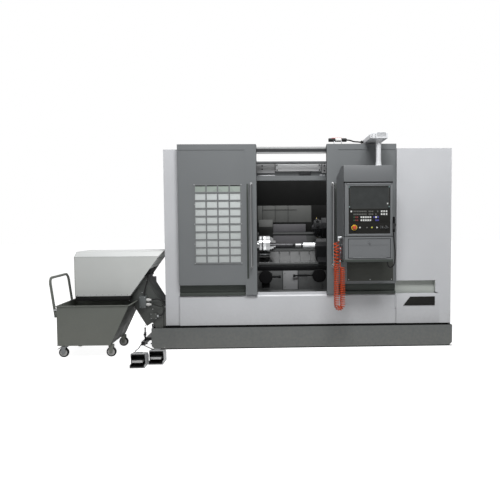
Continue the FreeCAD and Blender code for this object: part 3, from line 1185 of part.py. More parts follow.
def wheel_places():
    near = CART_FRONT + WHEEL_INSET
    far = CART_FRONT + CART_WIDTH - WHEEL_INSET
    return [(WHEEL_LEFT, near), (WHEEL_LEFT, far), (WHEEL_RIGHT, near), (WHEEL_RIGHT, far)]


def fork(x, y):
    """Caster fork on its top plate: two cheeks joined by a crown."""
    inner = WHEEL_WIDTH / 2 + 2
    outer = inner + 5
    crown = WHEEL_RADIUS * 2 + 4
    profile = [(x - 13, WHEEL_RADIUS - 12), (x + 13, WHEEL_RADIUS - 12), (x + 24, crown), (x - 24, crown)]
    near = plate_xz(profile, y - outer, y - inner)
    far = plate_xz(profile, y + inner, y + outer)
    plate = block(x - 24, x + 24, y - outer, y + outer, crown, crown + 7)
    return fused(plate, near, far)


def make_cart():
    back = CART_FRONT + CART_WIDTH
    outer = [(CART_LEFT, CART_LOW), (CART_LEFT, CART_HIGH), (CART_RIGHT, CART_HIGH),
             (CART_FLOOR_RIGHT, CART_LOW)]
    lean = (CART_RIGHT - CART_FLOOR_RIGHT) / (CART_HIGH - CART_LOW)
    wall_run = CART_WALL * math.sqrt(1 + lean * lean)
    inner = [(CART_LEFT + CART_WALL, CART_LOW + CART_WALL), (CART_LEFT + CART_WALL, CART_HIGH + 1),
             (CART_RIGHT - wall_run + lean, CART_HIGH + 1),
             (CART_FLOOR_RIGHT - wall_run + lean * CART_WALL, CART_LOW + CART_WALL)]
    rim = block(CART_LEFT - CART_RIM, CART_RIGHT + CART_RIM, CART_FRONT - CART_RIM, back + CART_RIM,
                CART_HIGH - 6, CART_HIGH)
    hollow = plate_xz(inner, CART_FRONT + CART_WALL, back - CART_WALL)
    skids = [block(CART_LEFT + 10, CART_FLOOR_RIGHT + 20, y - 22, y + 22, CART_LOW - 8, CART_LOW)
             for y in (CART_FRONT + WHEEL_INSET, back - WHEEL_INSET)]
    plates = []
    for x, y in wheel_places()[2:]:
        plates.append(block(x - 24, x + 24, y - 23, y + 23, WHEEL_RADIUS * 2 + 10, CART_LOW - 7))
        plates.append(fork(x, y))
    grip_low = CART_HIGH - 120
    near = CART_FRONT + 30
    far = back - 30
    foot_x = CART_LEFT - CART_RIM - CART_HANDLE_RADIUS + 4
    lean_x = foot_x - CART_HANDLE_LEAN
    route = [V(foot_x, near, grip_low), V(lean_x, near, CART_HANDLE_HIGH), V(lean_x, far, CART_HANDLE_HIGH),
             V(foot_x, far, grip_low)]
    grip = mitred(bent_path(route, CART_HANDLE_BEND), CART_HANDLE_RADIUS, TUBE_SIDES)
    brackets = [block(foot_x - 4, CART_LEFT + 1, y - 18, y + 18, grip_low + 4, grip_low + 60) for y in (near, far)]
    bin_shell = fused(plate_xz(outer, CART_FRONT, back), rim, *skids, *brackets).cut(hollow)
    nodes["cart_bin"] = fused(bin_shell, grip, *plates)

    # swivel forks under the handle end, wheels on all four corners
    for index, (x, y) in enumerate(wheel_places()[:2]):
        stem = prism(V(x + CASTER_TRAIL, y, WHEEL_RADIUS * 2 + 10), V(x + CASTER_TRAIL, y, CART_LOW - 8 - SEAT), 18)
        arm = block(x - 20, x + CASTER_TRAIL + 18, y - 18, y + 18, WHEEL_RADIUS * 2 + 4, WHEEL_RADIUS * 2 + 11)
        brake = plate_xz([(x - 22, 96), (x - 24, 108), (x - 62, 86), (x - 60, 80)], y - 12, y + 12)
        nodes["caster_fork_" + str(index + 1)] = fused(fork(x, y), arm, stem, brake)
    for index, (x, y) in enumerate(wheel_places()):
        half = WHEEL_WIDTH / 2
        hub = half + 2 - SEAT
        tread = rod(V(x, y - half, WHEEL_RADIUS), V(x, y + half, WHEEL_RADIUS), WHEEL_RADIUS)
        axle = prism(V(x, y - hub, WHEEL_RADIUS), V(x, y + hub, WHEEL_RADIUS), HUB_RADIUS)
        nodes["cart_wheel_" + str(index + 1)] = fused(tread, axle)


# ---------------------------------------------------------------- foot pedals

def make_pedals():
    guards = []
    for index, (x, front) in enumerate(PEDAL_PLACES):
        left = x - PEDAL_WIDTH / 2
        right = x + PEDAL_WIDTH / 2
        back = front + PEDAL_LENGTH
        sheet = PEDAL_SHEET
        side = plate_yz([
            (front, 0), (front + 8, 40), (front + 50, PEDAL_HEIGHT), (back - 30, PEDAL_HEIGHT - 14),
            (back, PEDAL_HEIGHT - 50), (back, 0)], left, right)
        room = plate_yz([
            (front - 1, 12), (front - 1, 60), (front + 50, PEDAL_HEIGHT - sheet),
            (back - 32, PEDAL_HEIGHT - 14 - sheet), (back - sheet, PEDAL_HEIGHT - 54), (back - sheet, 12)],
            left + sheet, right - sheet)
        side_cut = plate_yz([
            (front - 1, 30), (front - 1, PEDAL_HEIGHT), (front + 44, PEDAL_HEIGHT - 10), (front + 60, 30)],
            left - 1, right + 1)
        pin_y = back - 30
        pin_z = 40.0
        guards.append(side.cut(room).cut(side_cut))
        pad = plate_yz([
            (front + 14, 60), (front + 10, 66), (front + 14, 72), (pin_y, 47), (pin_y + 7, pin_z),
            (pin_y, 33)], left + sheet + 8, right - sheet - 8)
        pin = prism(V(left + sheet + SEAT, pin_y, pin_z), V(right - sheet - SEAT, pin_y, pin_z), 5)
        nodes["pedal_treadle_" + str(index + 1)] = fused(pad, pin)
    nodes["pedal_guards"] = Part.makeCompound(guards)

    # foot rail on the floor, joined to the tank's end by two arms, with levelling bolts
    half = FOOT_RAIL_SIZE / 2
    bar = block(FOOT_RAIL_X - half, FOOT_RAIL_X + half, FOOT_RAIL_FRONT, FOOT_RAIL_FRONT + FOOT_RAIL_LENGTH,
                0, FOOT_RAIL_SIZE)
    pieces = [bar]
    for y in (FOOT_RAIL_FRONT + 80, FOOT_RAIL_FRONT + FOOT_RAIL_LENGTH - 120):
        pieces.append(block(FOOT_RAIL_X, TANK_LEFT, y, y + 40, TANK_CORNER, TANK_CORNER + 34))
        pieces.append(prism(V(FOOT_RAIL_X, y + 20, TANK_CORNER + 33), V(FOOT_RAIL_X, y + 20, 128), 9, 6))
        pieces.append(prism(V(FOOT_RAIL_X, y + 20, 92), V(FOOT_RAIL_X, y + 20, 106), 17, 6))
    nodes["foot_rail"] = fused(*pieces)

    # leads from the foot rail to the two pedals, lying on the floor
    floor = CABLE_DIAMETER / 2 + SEAT
    for index, (x, front) in enumerate(PEDAL_PLACES):
        back = front + PEDAL_LENGTH
        exit_x = FOOT_RAIL_X - 8 + 16 * index
        end_x = x - 20 + 40 * index
        reach = FOOT_RAIL_FRONT - back
        spots = [V(exit_x, FOOT_RAIL_FRONT - SEAT, LEAD_EXIT), V(exit_x, FOOT_RAIL_FRONT - 64, LEAD_EXIT)]
        for share, side in LEAD_SWAY[index]:
            spots.append(V(exit_x + (end_x - exit_x) * share + side, FOOT_RAIL_FRONT - reach * share, floor))
        spots += [V(end_x, back + 66, LEAD_EXIT), V(end_x, back + SEAT, LEAD_EXIT)]
        wire, radii = rounded_route(spots)
        print("pedal lead length", round(wire.Length), "radii", [round(r) for r in radii])
        nodes["pedal_lead_" + str(index + 1)] = swept(wire, CABLE_DIAMETER / 2, LEAD_SIDES)


# ---------------------------------------------------------------- assembly

make_tank()
make_bed()
make_covers()
make_front_cover()
make_rail_and_header()
make_doors()
make_tailstock(make_headstock())
make_carriage()
make_pendant()
make_hose()
make_conveyor()
make_cart()
make_pedals()

for name, shape in nodes.items():
    if not shape.isValid():
        print("not valid:", name)
    if isinstance(shape, Part.Compound) and len(shape.Solids) == 1:
        shape = shape.Solids[0]
    shape.exportStep(os.path.join("parts", name + ".step"))
print(len(nodes), "nodes")
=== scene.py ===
# %% [markdown]
# # A slant-bed turning lathe, dressed in Blender
# The construction comes in as a fixed frame: sixty nodes in metres, +Z up, with the floor at zero and the
# spindle along X.  This lesson gives every node its finish and adds the pieces that a close look finds on
# the real machine.

# %% Load the frame
import bpy
import json
import math
from mathutils import Matrix, Vector


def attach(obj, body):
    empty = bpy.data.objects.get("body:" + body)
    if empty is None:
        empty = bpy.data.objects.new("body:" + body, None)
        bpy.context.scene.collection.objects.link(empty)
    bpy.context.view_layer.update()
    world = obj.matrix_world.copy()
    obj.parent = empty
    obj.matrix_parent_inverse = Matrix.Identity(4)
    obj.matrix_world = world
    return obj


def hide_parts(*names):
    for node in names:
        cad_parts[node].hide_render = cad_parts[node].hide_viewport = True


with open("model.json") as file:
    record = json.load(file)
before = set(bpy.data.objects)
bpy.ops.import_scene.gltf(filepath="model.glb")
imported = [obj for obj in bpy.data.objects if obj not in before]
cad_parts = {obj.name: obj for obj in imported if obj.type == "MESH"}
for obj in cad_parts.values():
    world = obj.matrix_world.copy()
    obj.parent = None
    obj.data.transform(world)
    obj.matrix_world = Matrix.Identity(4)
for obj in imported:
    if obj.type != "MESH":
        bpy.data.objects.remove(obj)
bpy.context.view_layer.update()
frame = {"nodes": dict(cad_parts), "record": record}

# %% [markdown]
# ## The camera
# The picture is taken almost level, a little left of the machine's middle, so its right side is not seen.
# The place and the turn come from the long edges of the covers and from the wheels' places on the floor.
# The lens is a normal one, and the frame is shifted slightly, because the photograph was cropped off its
# middle.

# %% Camera
CAMERA_PLACE = Vector((-0.38, -6.6, 1.345))
CAMERA_YAW = math.radians(1.7)
CAMERA_PITCH = math.radians(-2.89)
CAMERA_ROLL = 0.0074
LENS = 38.88
SHIFT_X = -0.066


def make_camera():
    data = bpy.data.cameras.new("camera")
    data.lens = LENS
    data.sensor_width = 36.0
    data.shift_x = SHIFT_X
    forward = Vector((
        math.sin(CAMERA_YAW) * math.cos(CAMERA_PITCH),
        math.cos(CAMERA_YAW) * math.cos(CAMERA_PITCH),
        math.sin(CAMERA_PITCH)))
    right = Vector((math.cos(CAMERA_YAW), -math.sin(CAMERA_YAW), 0.0))
    up = right.cross(forward)
    turned_right = right * math.cos(CAMERA_ROLL) - up * math.sin(CAMERA_ROLL)
    turned_up = right * math.sin(CAMERA_ROLL) + up * math.cos(CAMERA_ROLL)
    turn = Matrix((turned_right, turned_up, -forward)).transposed()
    camera = bpy.data.objects.new("camera", data)
    camera.matrix_world = Matrix.Translation(CAMERA_PLACE) @ turn.to_4x4()
    bpy.context.scene.collection.objects.link(camera)
    bpy.context.scene.camera = camera
    return camera


camera = make_camera()
bpy.context.scene.view_settings.view_transform = "Standard"
print("camera looks along", [round(v, 3) for v in -camera.matrix_world.col[2].to_3d()])

# %% [markdown]
# ## Helpers for node materials
# Every finish is a small node tree on Object coordinates, so its grain keeps its real size and stays on the
# piece when it moves.  One helper adds a node and sets its sockets by name, and the others lay noise, shade
# and bump.

# %% Node helpers


def add(tree, kind, **values):
    node = tree.nodes.new(kind)
    for key, value in values.items():
        socket = node.inputs.get(key.replace("_", " "))
        if socket is None:
            setattr(node, key, value)
        else:
            socket.default_value = value
    return node


def new_material(name):
    material = bpy.data.materials.new(name)
    material.use_nodes = True
    tree = material.node_tree
    return material, tree, tree.nodes["Principled BSDF"]


def object_noise(tree, scale, stretch=(1.0, 1.0, 1.0), detail=3.0):
    """Noise on Object coordinates; a small stretch value draws it out along that axis, as brushing does."""
    where = add(tree, "ShaderNodeTexCoord")
    mapping = add(tree, "ShaderNodeMapping", Scale=stretch)
    noise = add(tree, "ShaderNodeTexNoise", Scale=scale, Detail=detail)
    tree.links.new(where.outputs["Object"], mapping.inputs["Vector"])
    tree.links.new(mapping.outputs["Vector"], noise.inputs["Vector"])
    return noise.outputs["Fac"]


def ranged(tree, value, low, high, start=0.3, stop=0.7):
    node = add(tree, "ShaderNodeMapRange", To_Min=low, To_Max=high, From_Min=start, From_Max=stop)
    tree.links.new(value, node.inputs["Value"])
    return node.outputs["Result"]


def shades(tree, value, dark, light):
    """A colour that goes from the dark one to the light one as value goes from 0 to 1."""
    mix = tree.nodes.new("ShaderNodeMix")
    mix.data_type = "RGBA"
    colours = [socket for socket in mix.inputs if socket.type == "RGBA"]
    colours[0].default_value = (*dark, 1.0)
    colours[1].default_value = (*light, 1.0)
    tree.links.new(value, mix.inputs["Factor"])
    return [socket for socket in mix.outputs if socket.type == "RGBA"][0], colours


def scaled(colour, share):
    return tuple(min(c * share, 1.0) for c in colour)


def bumped(tree, shader, value, strength, distance):
    bump = add(tree, "ShaderNodeBump", Strength=strength, Distance=distance)
    tree.links.new(value, bump.inputs["Height"])
    tree.links.new(bump.outputs["Normal"], shader.inputs["Normal"])


print("node helpers ready")

# %% [markdown]
# ## Painted sheet
# The covers are sheet steel with a baked paint.  It is one colour from far away, but up close it has a
# faint orange peel, and dust and coolant mist settle on it, more of it near the floor.  Noise of two grains
# gives the peel and the wandering tone, and the height above the floor gives the dust.  A photo of paint
# would need an image and a UV map, while this stays sharp at any distance.

# %% Painted sheet
PEEL_SCALE = 260.0
MIST_SCALE = 1.7
DUST_HEIGHT = 0.55
DUST_COLOUR = (0.23, 0.215, 0.19)


def painted(name, colour, roughness=0.42, dust=0.0, peel=0.05, gloss=0.5):
    material, tree, shader = new_material(name)
    mist = ranged(tree, object_noise(tree, MIST_SCALE, detail=5.0), 0.0, 1.0)
    tone, _ = shades(tree, mist, scaled(colour, 0.955), scaled(colour, 1.03))
    where = add(tree, "ShaderNodeTexCoord")
    parts = add(tree, "ShaderNodeSeparateXYZ")
    tree.links.new(where.outputs["Object"], parts.inputs[0])
    low = ranged(tree, parts.outputs["Z"], dust, 0.0, 0.0, DUST_HEIGHT)
    flecks = ranged(tree, object_noise(tree, 38.0, detail=6.0), 0.4, 1.0)
    amount = add(tree, "ShaderNodeMath", operation="MULTIPLY")
    tree.links.new(low, amount.inputs[0])
    tree.links.new(flecks, amount.inputs[1])
    mixed, sockets = shades(tree, amount.outputs[0], colour, DUST_COLOUR)
    tree.links.new(tone, sockets[0])
    tree.links.new(mixed, shader.inputs["Base Color"])
    rough = ranged(tree, object_noise(tree, 9.0), roughness - 0.06, roughness + 0.08)
    tree.links.new(rough, shader.inputs["Roughness"])
    bumped(tree, shader, object_noise(tree, PEEL_SCALE, detail=2.0), peel, 0.0006)
    shader.inputs["Specular IOR Level"].default_value = gloss
    return material


COVER_WHITE = painted("cover_paint", (0.545, 0.555, 0.575), roughness=0.4, dust=0.3)
DOOR_GREY = painted("door_paint", (0.136, 0.145, 0.15), roughness=0.44, dust=0.12)
PENDANT_GREY = painted("pendant_paint", (0.132, 0.139, 0.145), roughness=0.44)
TANK_GREY = painted("tank_paint", (0.091, 0.101, 0.102), roughness=0.5, dust=0.35, peel=0.09)
HOOD_GREY = painted("hood_paint", (0.6, 0.617, 0.603), roughness=0.45, dust=0.1)
TRUNK_GREY = painted("trunk_paint", (0.036, 0.04, 0.037), roughness=0.5, dust=0.18)
CART_GREEN = painted("cart_paint", (0.118, 0.127, 0.112), roughness=0.52, dust=0.25, peel=0.1)
CASTING_GREY = painted("casting_paint", (0.2, 0.21, 0.21), roughness=0.55, peel=0.3)
DARK_PAINT = painted("dark_paint", (0.026, 0.027, 0.029), roughness=0.45, dust=0.05, gloss=0.25)
CHAMBER_SHADE_PAINT = painted("chamber_shade_paint", (0.008, 0.0082, 0.008), roughness=0.62, gloss=0.08)
# near black, for black parts and for strips of painted shade in gaps, under overhangs and at the tank's foot
BLACK_AND_SHADE = painted("black_and_shade_paint", (0.005, 0.005, 0.0055), roughness=0.65, gloss=0.08)
SHADE_PAINT = painted("shade_paint", (0.05, 0.053, 0.047), roughness=0.5, gloss=0.2)
ARM_WHITE = painted("arm_paint", (0.7, 0.71, 0.73), roughness=0.4)
HEADER_GREY = painted("header_paint", (0.4, 0.405, 0.41), roughness=0.45)
HEADER_WHITE = painted("header_white_paint", (0.9, 0.91, 0.92), roughness=0.4)
INSIDE_GREY = painted("panel_paint", (0.105, 0.108, 0.104), roughness=0.5, gloss=0.2)
# painted shade: dark grey-green for the recesses under the doors, along the grab bars and under the pendant
SHADE_BAND_PAINT = painted("shade_band_paint", (0.052, 0.06, 0.054), roughness=0.5, gloss=0.2)
POCKET_SHADE_GREY = painted("pocket_shade_paint", (0.4, 0.425, 0.4), roughness=0.45)
LATTICE_GREY = painted("lattice_paint", (0.145, 0.152, 0.155), roughness=0.45)
MOTOR_PAINT = painted("motor_paint", (0.07, 0.085, 0.1), roughness=0.45, dust=0.05, peel=0.2)
print("painted finishes", len(bpy.data.materials))

# %% [markdown]
# ## Covers with painted shade inside
# The same covers that are white outside are painted nearly black inside the chamber: painted shade for the
# deep chamber.  The shade is not another sheet, so the paint changes inside a box that is written in the
# machine's own coordinates: three Compare nodes tell whether a point lies within it.

# %% Covers with painted shade inside
CHAMBER_MIDDLE = (0.254, -0.15, 1.15)
CHAMBER_HALF = (0.7565, 0.6, 0.85)
CHAMBER_SHADE = (0.0085, 0.0088, 0.0085)


def within(tree, middle, half):
    """1 inside a box in Object coordinates, 0 outside."""
    where = add(tree, "ShaderNodeTexCoord")
    parts = add(tree, "ShaderNodeSeparateXYZ")
    tree.links.new(where.outputs["Object"], parts.inputs[0])
    result = None
    for axis in range(3):
        near = add(tree, "ShaderNodeMath", operation="COMPARE")
        tree.links.new(parts.outputs[axis], near.inputs[0])
        near.inputs[1].default_value = middle[axis]
        near.inputs[2].default_value = half[axis]
        if result is None:
            result = near.outputs[0]
            continue
        both = add(tree, "ShaderNodeMath", operation="MULTIPLY")
        tree.links.new(result, both.inputs[0])
        tree.links.new(near.outputs[0], both.inputs[1])
        result = both.outputs[0]
    return result


def shaded_inside(name, colour, shade_colour, middle, half):
    material = painted(name, colour, roughness=0.4, dust=0.3)
    tree = material.node_tree
    shader = tree.nodes["Principled BSDF"]
    outside = shader.inputs["Base Color"].links[0].from_socket
    mixed, sockets = shades(tree, within(tree, middle, half), colour, shade_colour)
    tree.links.new(outside, sockets[0])
    tree.links.new(mixed, shader.inputs["Base Color"])
    return material


# painted shade: the cover paint turns nearly black inside the chamber's box
SHADED_COVER = shaded_inside("cover_paint_shaded_inside", (0.545, 0.555, 0.575), CHAMBER_SHADE, CHAMBER_MIDDLE, CHAMBER_HALF)
RAIL_PAINT = painted("rail_paint", (0.3, 0.306, 0.308), roughness=0.4)


def dark_inside(material, boxes, colour):
    """Takes the finish's colour down to another one inside each box, given as its middle and half size."""
    tree = material.node_tree
    shader = tree.nodes["Principled BSDF"]
    for middle, half in boxes:
        outside = shader.inputs["Base Color"].links[0].from_socket
        mixed, sockets = shades(tree, within(tree, middle, half), colour, colour)
        tree.links.new(outside, sockets[0])
        tree.links.new(mixed, shader.inputs["Base Color"])
    return material


print("lined paint ready")

# %% [markdown]
# ## Bare metals
# The way covers, rails and handles are ground or brushed, the chuck and the quill are chromed or fine
# turned, and forks are zinc plated.  A metal is told by what it mirrors, so its colour stays even and the
# work goes into the roughness: long thin noise for brushing, and rings round the turning axis for turned
# faces.

# %% Metals


def metal(name, colour, roughness, grain=(6.0, 220.0, 220.0), wear=0.08, bump=0.04, tint=0.9):
    material, tree, shader = new_material(name)
    shader.inputs["Metallic"].default_value = 1.0
    lines = object_noise(tree, 1.0, stretch=grain, detail=4.0)
    stain = ranged(tree, object_noise(tree, 7.0, detail=6.0), 0.0, 1.0)
    tone, _ = shades(tree, stain, scaled(colour, tint), colour)
    tree.links.new(tone, shader.inputs["Base Color"])
    tree.links.new(ranged(tree, lines, roughness - wear, roughness + wear), shader.inputs["Roughness"])
    bumped(tree, shader, lines, bump, 0.0004)
    return material


GROUND = metal("ground_steel", (0.24, 0.243, 0.245), 0.3, grain=(4.0, 300.0, 300.0))
UPRIGHT = metal("handle_steel", (0.185, 0.187, 0.19), 0.34, grain=(240.0, 240.0, 5.0))
CHROME = metal("chrome", (0.62, 0.63, 0.64), 0.14, grain=(30.0, 30.0, 30.0), wear=0.04, bump=0.01,
    tint=0.96)
TURNED = metal("turned_steel", (0.04, 0.04, 0.042), 0.34, grain=(420.0, 1.0, 1.0), bump=0.08)
ZINC = metal("zinc_plate", (0.42, 0.43, 0.44), 0.38, grain=(60.0, 60.0, 60.0), wear=0.1)
GUARD_STEEL = metal("guard_steel", (0.105, 0.108, 0.108), 0.46, grain=(220.0, 220.0, 5.0), tint=0.75)
CAST_ALUMINIUM = metal("cast_aluminium", (0.42, 0.43, 0.44), 0.48, grain=(120.0, 120.0, 120.0), bump=0.25)
BLACKED = metal("black_oxide", (0.045, 0.045, 0.048), 0.4, grain=(90.0, 90.0, 90.0), bump=0.05)
COVER_STEEL = metal("way_cover_steel", (0.125, 0.127, 0.128), 0.4, grain=(5.0, 260.0, 260.0), tint=0.8)
BRASS = metal("brass", (0.5, 0.36, 0.14), 0.28, grain=(60.0, 60.0, 60.0))
print("metals ready")

# %% [markdown]
# ## Plastics, rubber and glass
# The panel and the knobs are moulded in matt black with a fine grain.  The hose is a glossy see-through
# orange that reads as solid from a step away.  The window is toughened glass behind its guard, and it is
# seen against the dark inside, so it needs its gloss more than its colour.

# %% Plastics, rubber and glass


def moulded(name, colour, roughness=0.45, grain=900.0, bump=0.12, coat=0.0, gloss=0.5):
    material, tree, shader = new_material(name)
    wander = ranged(tree, object_noise(tree, 14.0, detail=4.0), 0.0, 1.0)
    tone, _ = shades(tree, wander, scaled(colour, 0.9), scaled(colour, 1.12))
    tree.links.new(tone, shader.inputs["Base Color"])
    rough = ranged(tree, object_noise(tree, 35.0), roughness - 0.05, roughness + 0.07)
    tree.links.new(rough, shader.inputs["Roughness"])
    bumped(tree, shader, object_noise(tree, grain, detail=2.0), bump, 0.0003)
    shader.inputs["Coat Weight"].default_value = coat
    shader.inputs["Specular IOR Level"].default_value = gloss
    return material


def clear_glass(name, colour, roughness, alpha):
    material, tree, shader = new_material(name)
    smear = ranged(tree, object_noise(tree, 5.0, stretch=(1.0, 1.0, 0.4), detail=6.0), 0.0, 1.0)
    tone, _ = shades(tree, smear, scaled(colour, 0.92), colour)
    tree.links.new(tone, shader.inputs["Base Color"])
    tree.links.new(ranged(tree, smear, roughness, roughness + 0.08, 0.0, 1.0), shader.inputs["Roughness"])
    shader.inputs["Alpha"].default_value = alpha
    return material


PANEL_BLACK = moulded("panel_black", (0.011, 0.011, 0.01), roughness=0.55, gloss=0.12)
SCREEN_DARK = moulded("screen_glass", (0.034, 0.037, 0.037), roughness=0.2, grain=40.0, bump=0.0, gloss=0.2)
STOP_RED = moulded("stop_red", (0.44, 0.05, 0.014), roughness=0.32, bump=0.03, coat=0.1)
STOP_YELLOW = moulded("stop_yellow", (0.72, 0.5, 0.03), roughness=0.4, bump=0.03)
HOSE_ORANGE = moulded("hose_orange", (0.5, 0.06, 0.01), roughness=0.34, grain=300.0, bump=0.03, gloss=0.25)
GUN_RED = moulded("gun_red", (0.23, 0.04, 0.035), roughness=0.42)
CABLE_BLACK = moulded("cable_black", (0.014, 0.014, 0.014), roughness=0.55, grain=600.0, gloss=0.2)
TYRE_BLACK = moulded("tyre_rubber", (0.01, 0.01, 0.01), roughness=0.72, grain=350.0, bump=0.2, gloss=0.2)
KEY_WHITE = moulded("key_white", (0.62, 0.63, 0.62), roughness=0.42)
KEY_GREY = moulded("key_grey", (0.105, 0.106, 0.1), roughness=0.45, gloss=0.2)
KEY_RED = moulded("key_red", (0.16, 0.035, 0.035), roughness=0.45, gloss=0.2)
KEY_GREEN = moulded("key_green", (0.03, 0.1, 0.05), roughness=0.45, gloss=0.2)
KEY_BLUE = moulded("key_blue", (0.055, 0.055, 0.27), roughness=0.45, gloss=0.3)
BUTTON_YELLOW = moulded("button_yellow", (0.6, 0.58, 0.05), roughness=0.35)
LAMP_RED = moulded("lamp_red", (0.42, 0.035, 0.03), roughness=0.22, bump=0.02, coat=0.3)
PLASTIC_WHITE = moulded("plastic_white", (0.6, 0.6, 0.59), roughness=0.4)
HUB_GREY = moulded("hub_grey", (0.36, 0.36, 0.35), roughness=0.42)
WINDOW_GLASS = clear_glass("window_glass", (0.43, 0.46, 0.44), 0.16, 0.8)
print("materials", len(bpy.data.materials))

# %% [markdown]
# ## Every node gets a finish
# The record says which slot each node takes its finish from, so one table from slot to material dresses the
# whole frame.  A few nodes share a slot in the record but not in the photograph, and they are named after
# it.

# %% Finish for each node
FINISH_OF_SLOT = {
    "tank_grey": TANK_GREY, "casting_grey": CASTING_GREY, "cover_white": COVER_WHITE,
    "door_grey": DOOR_GREY, "dark_steel": DARK_PAINT, "guard_grey": GUARD_STEEL, "glass": WINDOW_GLASS,
    "chrome": CHROME, "ground_steel": GROUND, "work_steel": TURNED, "panel_black": PANEL_BLACK,
    "screen_dark": SCREEN_DARK, "stop_red": STOP_RED, "hose_orange": HOSE_ORANGE, "gun_red": GUN_RED,
    "cable_black": CABLE_BLACK, "cart_green": CART_GREEN, "wheel_black": TYRE_BLACK, "zinc": ZINC,
    "hood_grey": HOOD_GREY, "trunk_grey": TRUNK_GREY, "pedal_grey": CAST_ALUMINIUM,
    "motor_blue": MOTOR_PAINT}
# painted shade: the bed's paint is much darker than the casting grey, for the shade it lies in inside the
# chamber
BED_SHADE_PAINT = painted("bed_shade_paint", (0.07, 0.073, 0.073), roughness=0.55, peel=0.3, gloss=0.2)
CHUCK_STEEL = metal("chuck_steel", (0.34, 0.345, 0.35), 0.24, grain=(420.0, 1.0, 1.0), bump=0.05)
FORK_ZINC = metal("fork_zinc", (0.15, 0.155, 0.158), 0.42, grain=(60.0, 60.0, 60.0))
# painted shade: the guards' paint goes nearly black inside their two mouths
PEDAL_GUARD = dark_inside(painted("pedal_guard_paint", (0.34, 0.345, 0.35), roughness=0.42, peel=0.3),
    [((-1.6, -1.5, 0.0645), (0.0655, 0.101, 0.0585)), ((-1.452, -1.38, 0.0645), (0.0655, 0.101, 0.0585))],
    (0.012, 0.012, 0.012))
OWN_FINISH = {
    "pendant_housing": PENDANT_GREY, "document_door": PENDANT_GREY, "left_door_handle": UPRIGHT,
    "right_door_handle": UPRIGHT, "window_guard": LATTICE_GREY, "way_cover": COVER_STEEL,
    "spindle_chuck": CHUCK_STEEL, "bed_casting": BED_SHADE_PAINT, "pendant_arm": ARM_WHITE,
    "header_beam": DOOR_GREY, "left_enclosure": SHADED_COVER, "right_enclosure": SHADED_COVER,
    "rear_enclosure": SHADED_COVER, "door_top_rail": RAIL_PAINT, "pedal_guards": PEDAL_GUARD,
    "caster_fork_1": FORK_ZINC, "caster_fork_2": FORK_ZINC, "pedal_treadle_1": DARK_PAINT,
    "pedal_treadle_2": DARK_PAINT}


def dress_nodes():
    for part in frame["record"]["subparts"]:
        node = frame["nodes"][part["node"]]
        finish = OWN_FINISH.get(part["node"], FINISH_OF_SLOT[part["material_slot"]])
        if not node.material_slots:
            node.data.materials.append(finish)
        for material_slot in node.material_slots:
            material_slot.material = finish


dress_nodes()
print("dressed", len(frame["nodes"]), "nodes")

# %% [markdown]
# ## Workshop: blocks and plates
# New pieces are made as by hand: a primitive goes in at its size and place, is drawn out in edit mode, and
# has its edges broken by a bevel that is applied.  Every piece ends with its object at the origin and its
# place in its mesh.

# %% Blocks and plates
RIGHT, LEFT = (1, 0, 0), (-1, 0, 0)
FRONT, BACK = (0, -1, 0), (0, 1, 0)
UP = (0, 0, 1)
BROKEN_EDGE = 0.0012
SMOOTH_ANGLE = math.radians(35)
BEVEL_ANGLE = math.radians(28)


def set_aside():
    if bpy.context.object is not None and bpy.context.object.mode != "OBJECT":
        bpy.ops.object.mode_set(mode="OBJECT")
    bpy.ops.object.select_all(action="DESELECT")


def take_up(piece):
    set_aside()
    piece.select_set(True)
    bpy.context.view_layer.objects.active = piece
    return piece


def settled(piece):
    """Puts the place and the turn into the mesh and leaves the object at the origin."""
    take_up(piece)
    bpy.ops.object.transform_apply(location=True, rotation=True, scale=True)
    return piece


def eased(piece, width=BROKEN_EDGE):
    take_up(piece)
    edge = piece.modifiers.new("edge", "BEVEL")
    edge.width = width
    edge.segments = 2
    edge.limit_method = "ANGLE"
    edge.angle_limit = BEVEL_ANGLE
    bpy.ops.object.modifier_apply(modifier="edge")
    bpy.ops.object.shade_smooth_by_angle(angle=SMOOTH_ANGLE)
    return piece


def slab(low, high, edge=BROKEN_EDGE):
    """A block between two corners with its edges broken."""
    set_aside()
    bpy.ops.mesh.primitive_cube_add(size=1.0, location=[(a + b) / 2 for a, b in zip(low, high)])
    piece = bpy.context.object
    piece.scale = [b - a for a, b in zip(low, high)]
    return eased(settled(piece), edge)


def formed(outline, axis, start, end, edge=BROKEN_EDGE):
    """A plate with any outline in the plane across the axis, drawn out from start to end."""
    set_aside()
    bpy.ops.mesh.primitive_circle_add(vertices=len(outline), radius=1.0, fill_type="NGON")
    piece = bpy.context.object
    index = "XYZ".index(axis)
    for vertex, pair in zip(piece.data.vertices, outline):
        place = list(pair)
        place.insert(index, start)
        vertex.co = place
    travel = [0.0, 0.0, 0.0]
    travel[index] = end - start
    bpy.ops.object.mode_set(mode="EDIT")
    bpy.ops.mesh.select_all(action="SELECT")
    bpy.ops.mesh.extrude_region_move(TRANSFORM_OT_translate={"value": travel})
    bpy.ops.mesh.select_all(action="SELECT")
    bpy.ops.mesh.normals_make_consistent(inside=False)
    bpy.ops.object.mode_set(mode="OBJECT")
    return eased(piece, edge)


print("blocks and plates ready")

# %% [markdown]
# ## Workshop: round pieces
# A turned piece starts as a disc and is drawn out along its axis from station to station, each with its own
# radius, as a lathe would cut it.  A bored one has its flat ends taken away and its rims joined.

# %% Round pieces


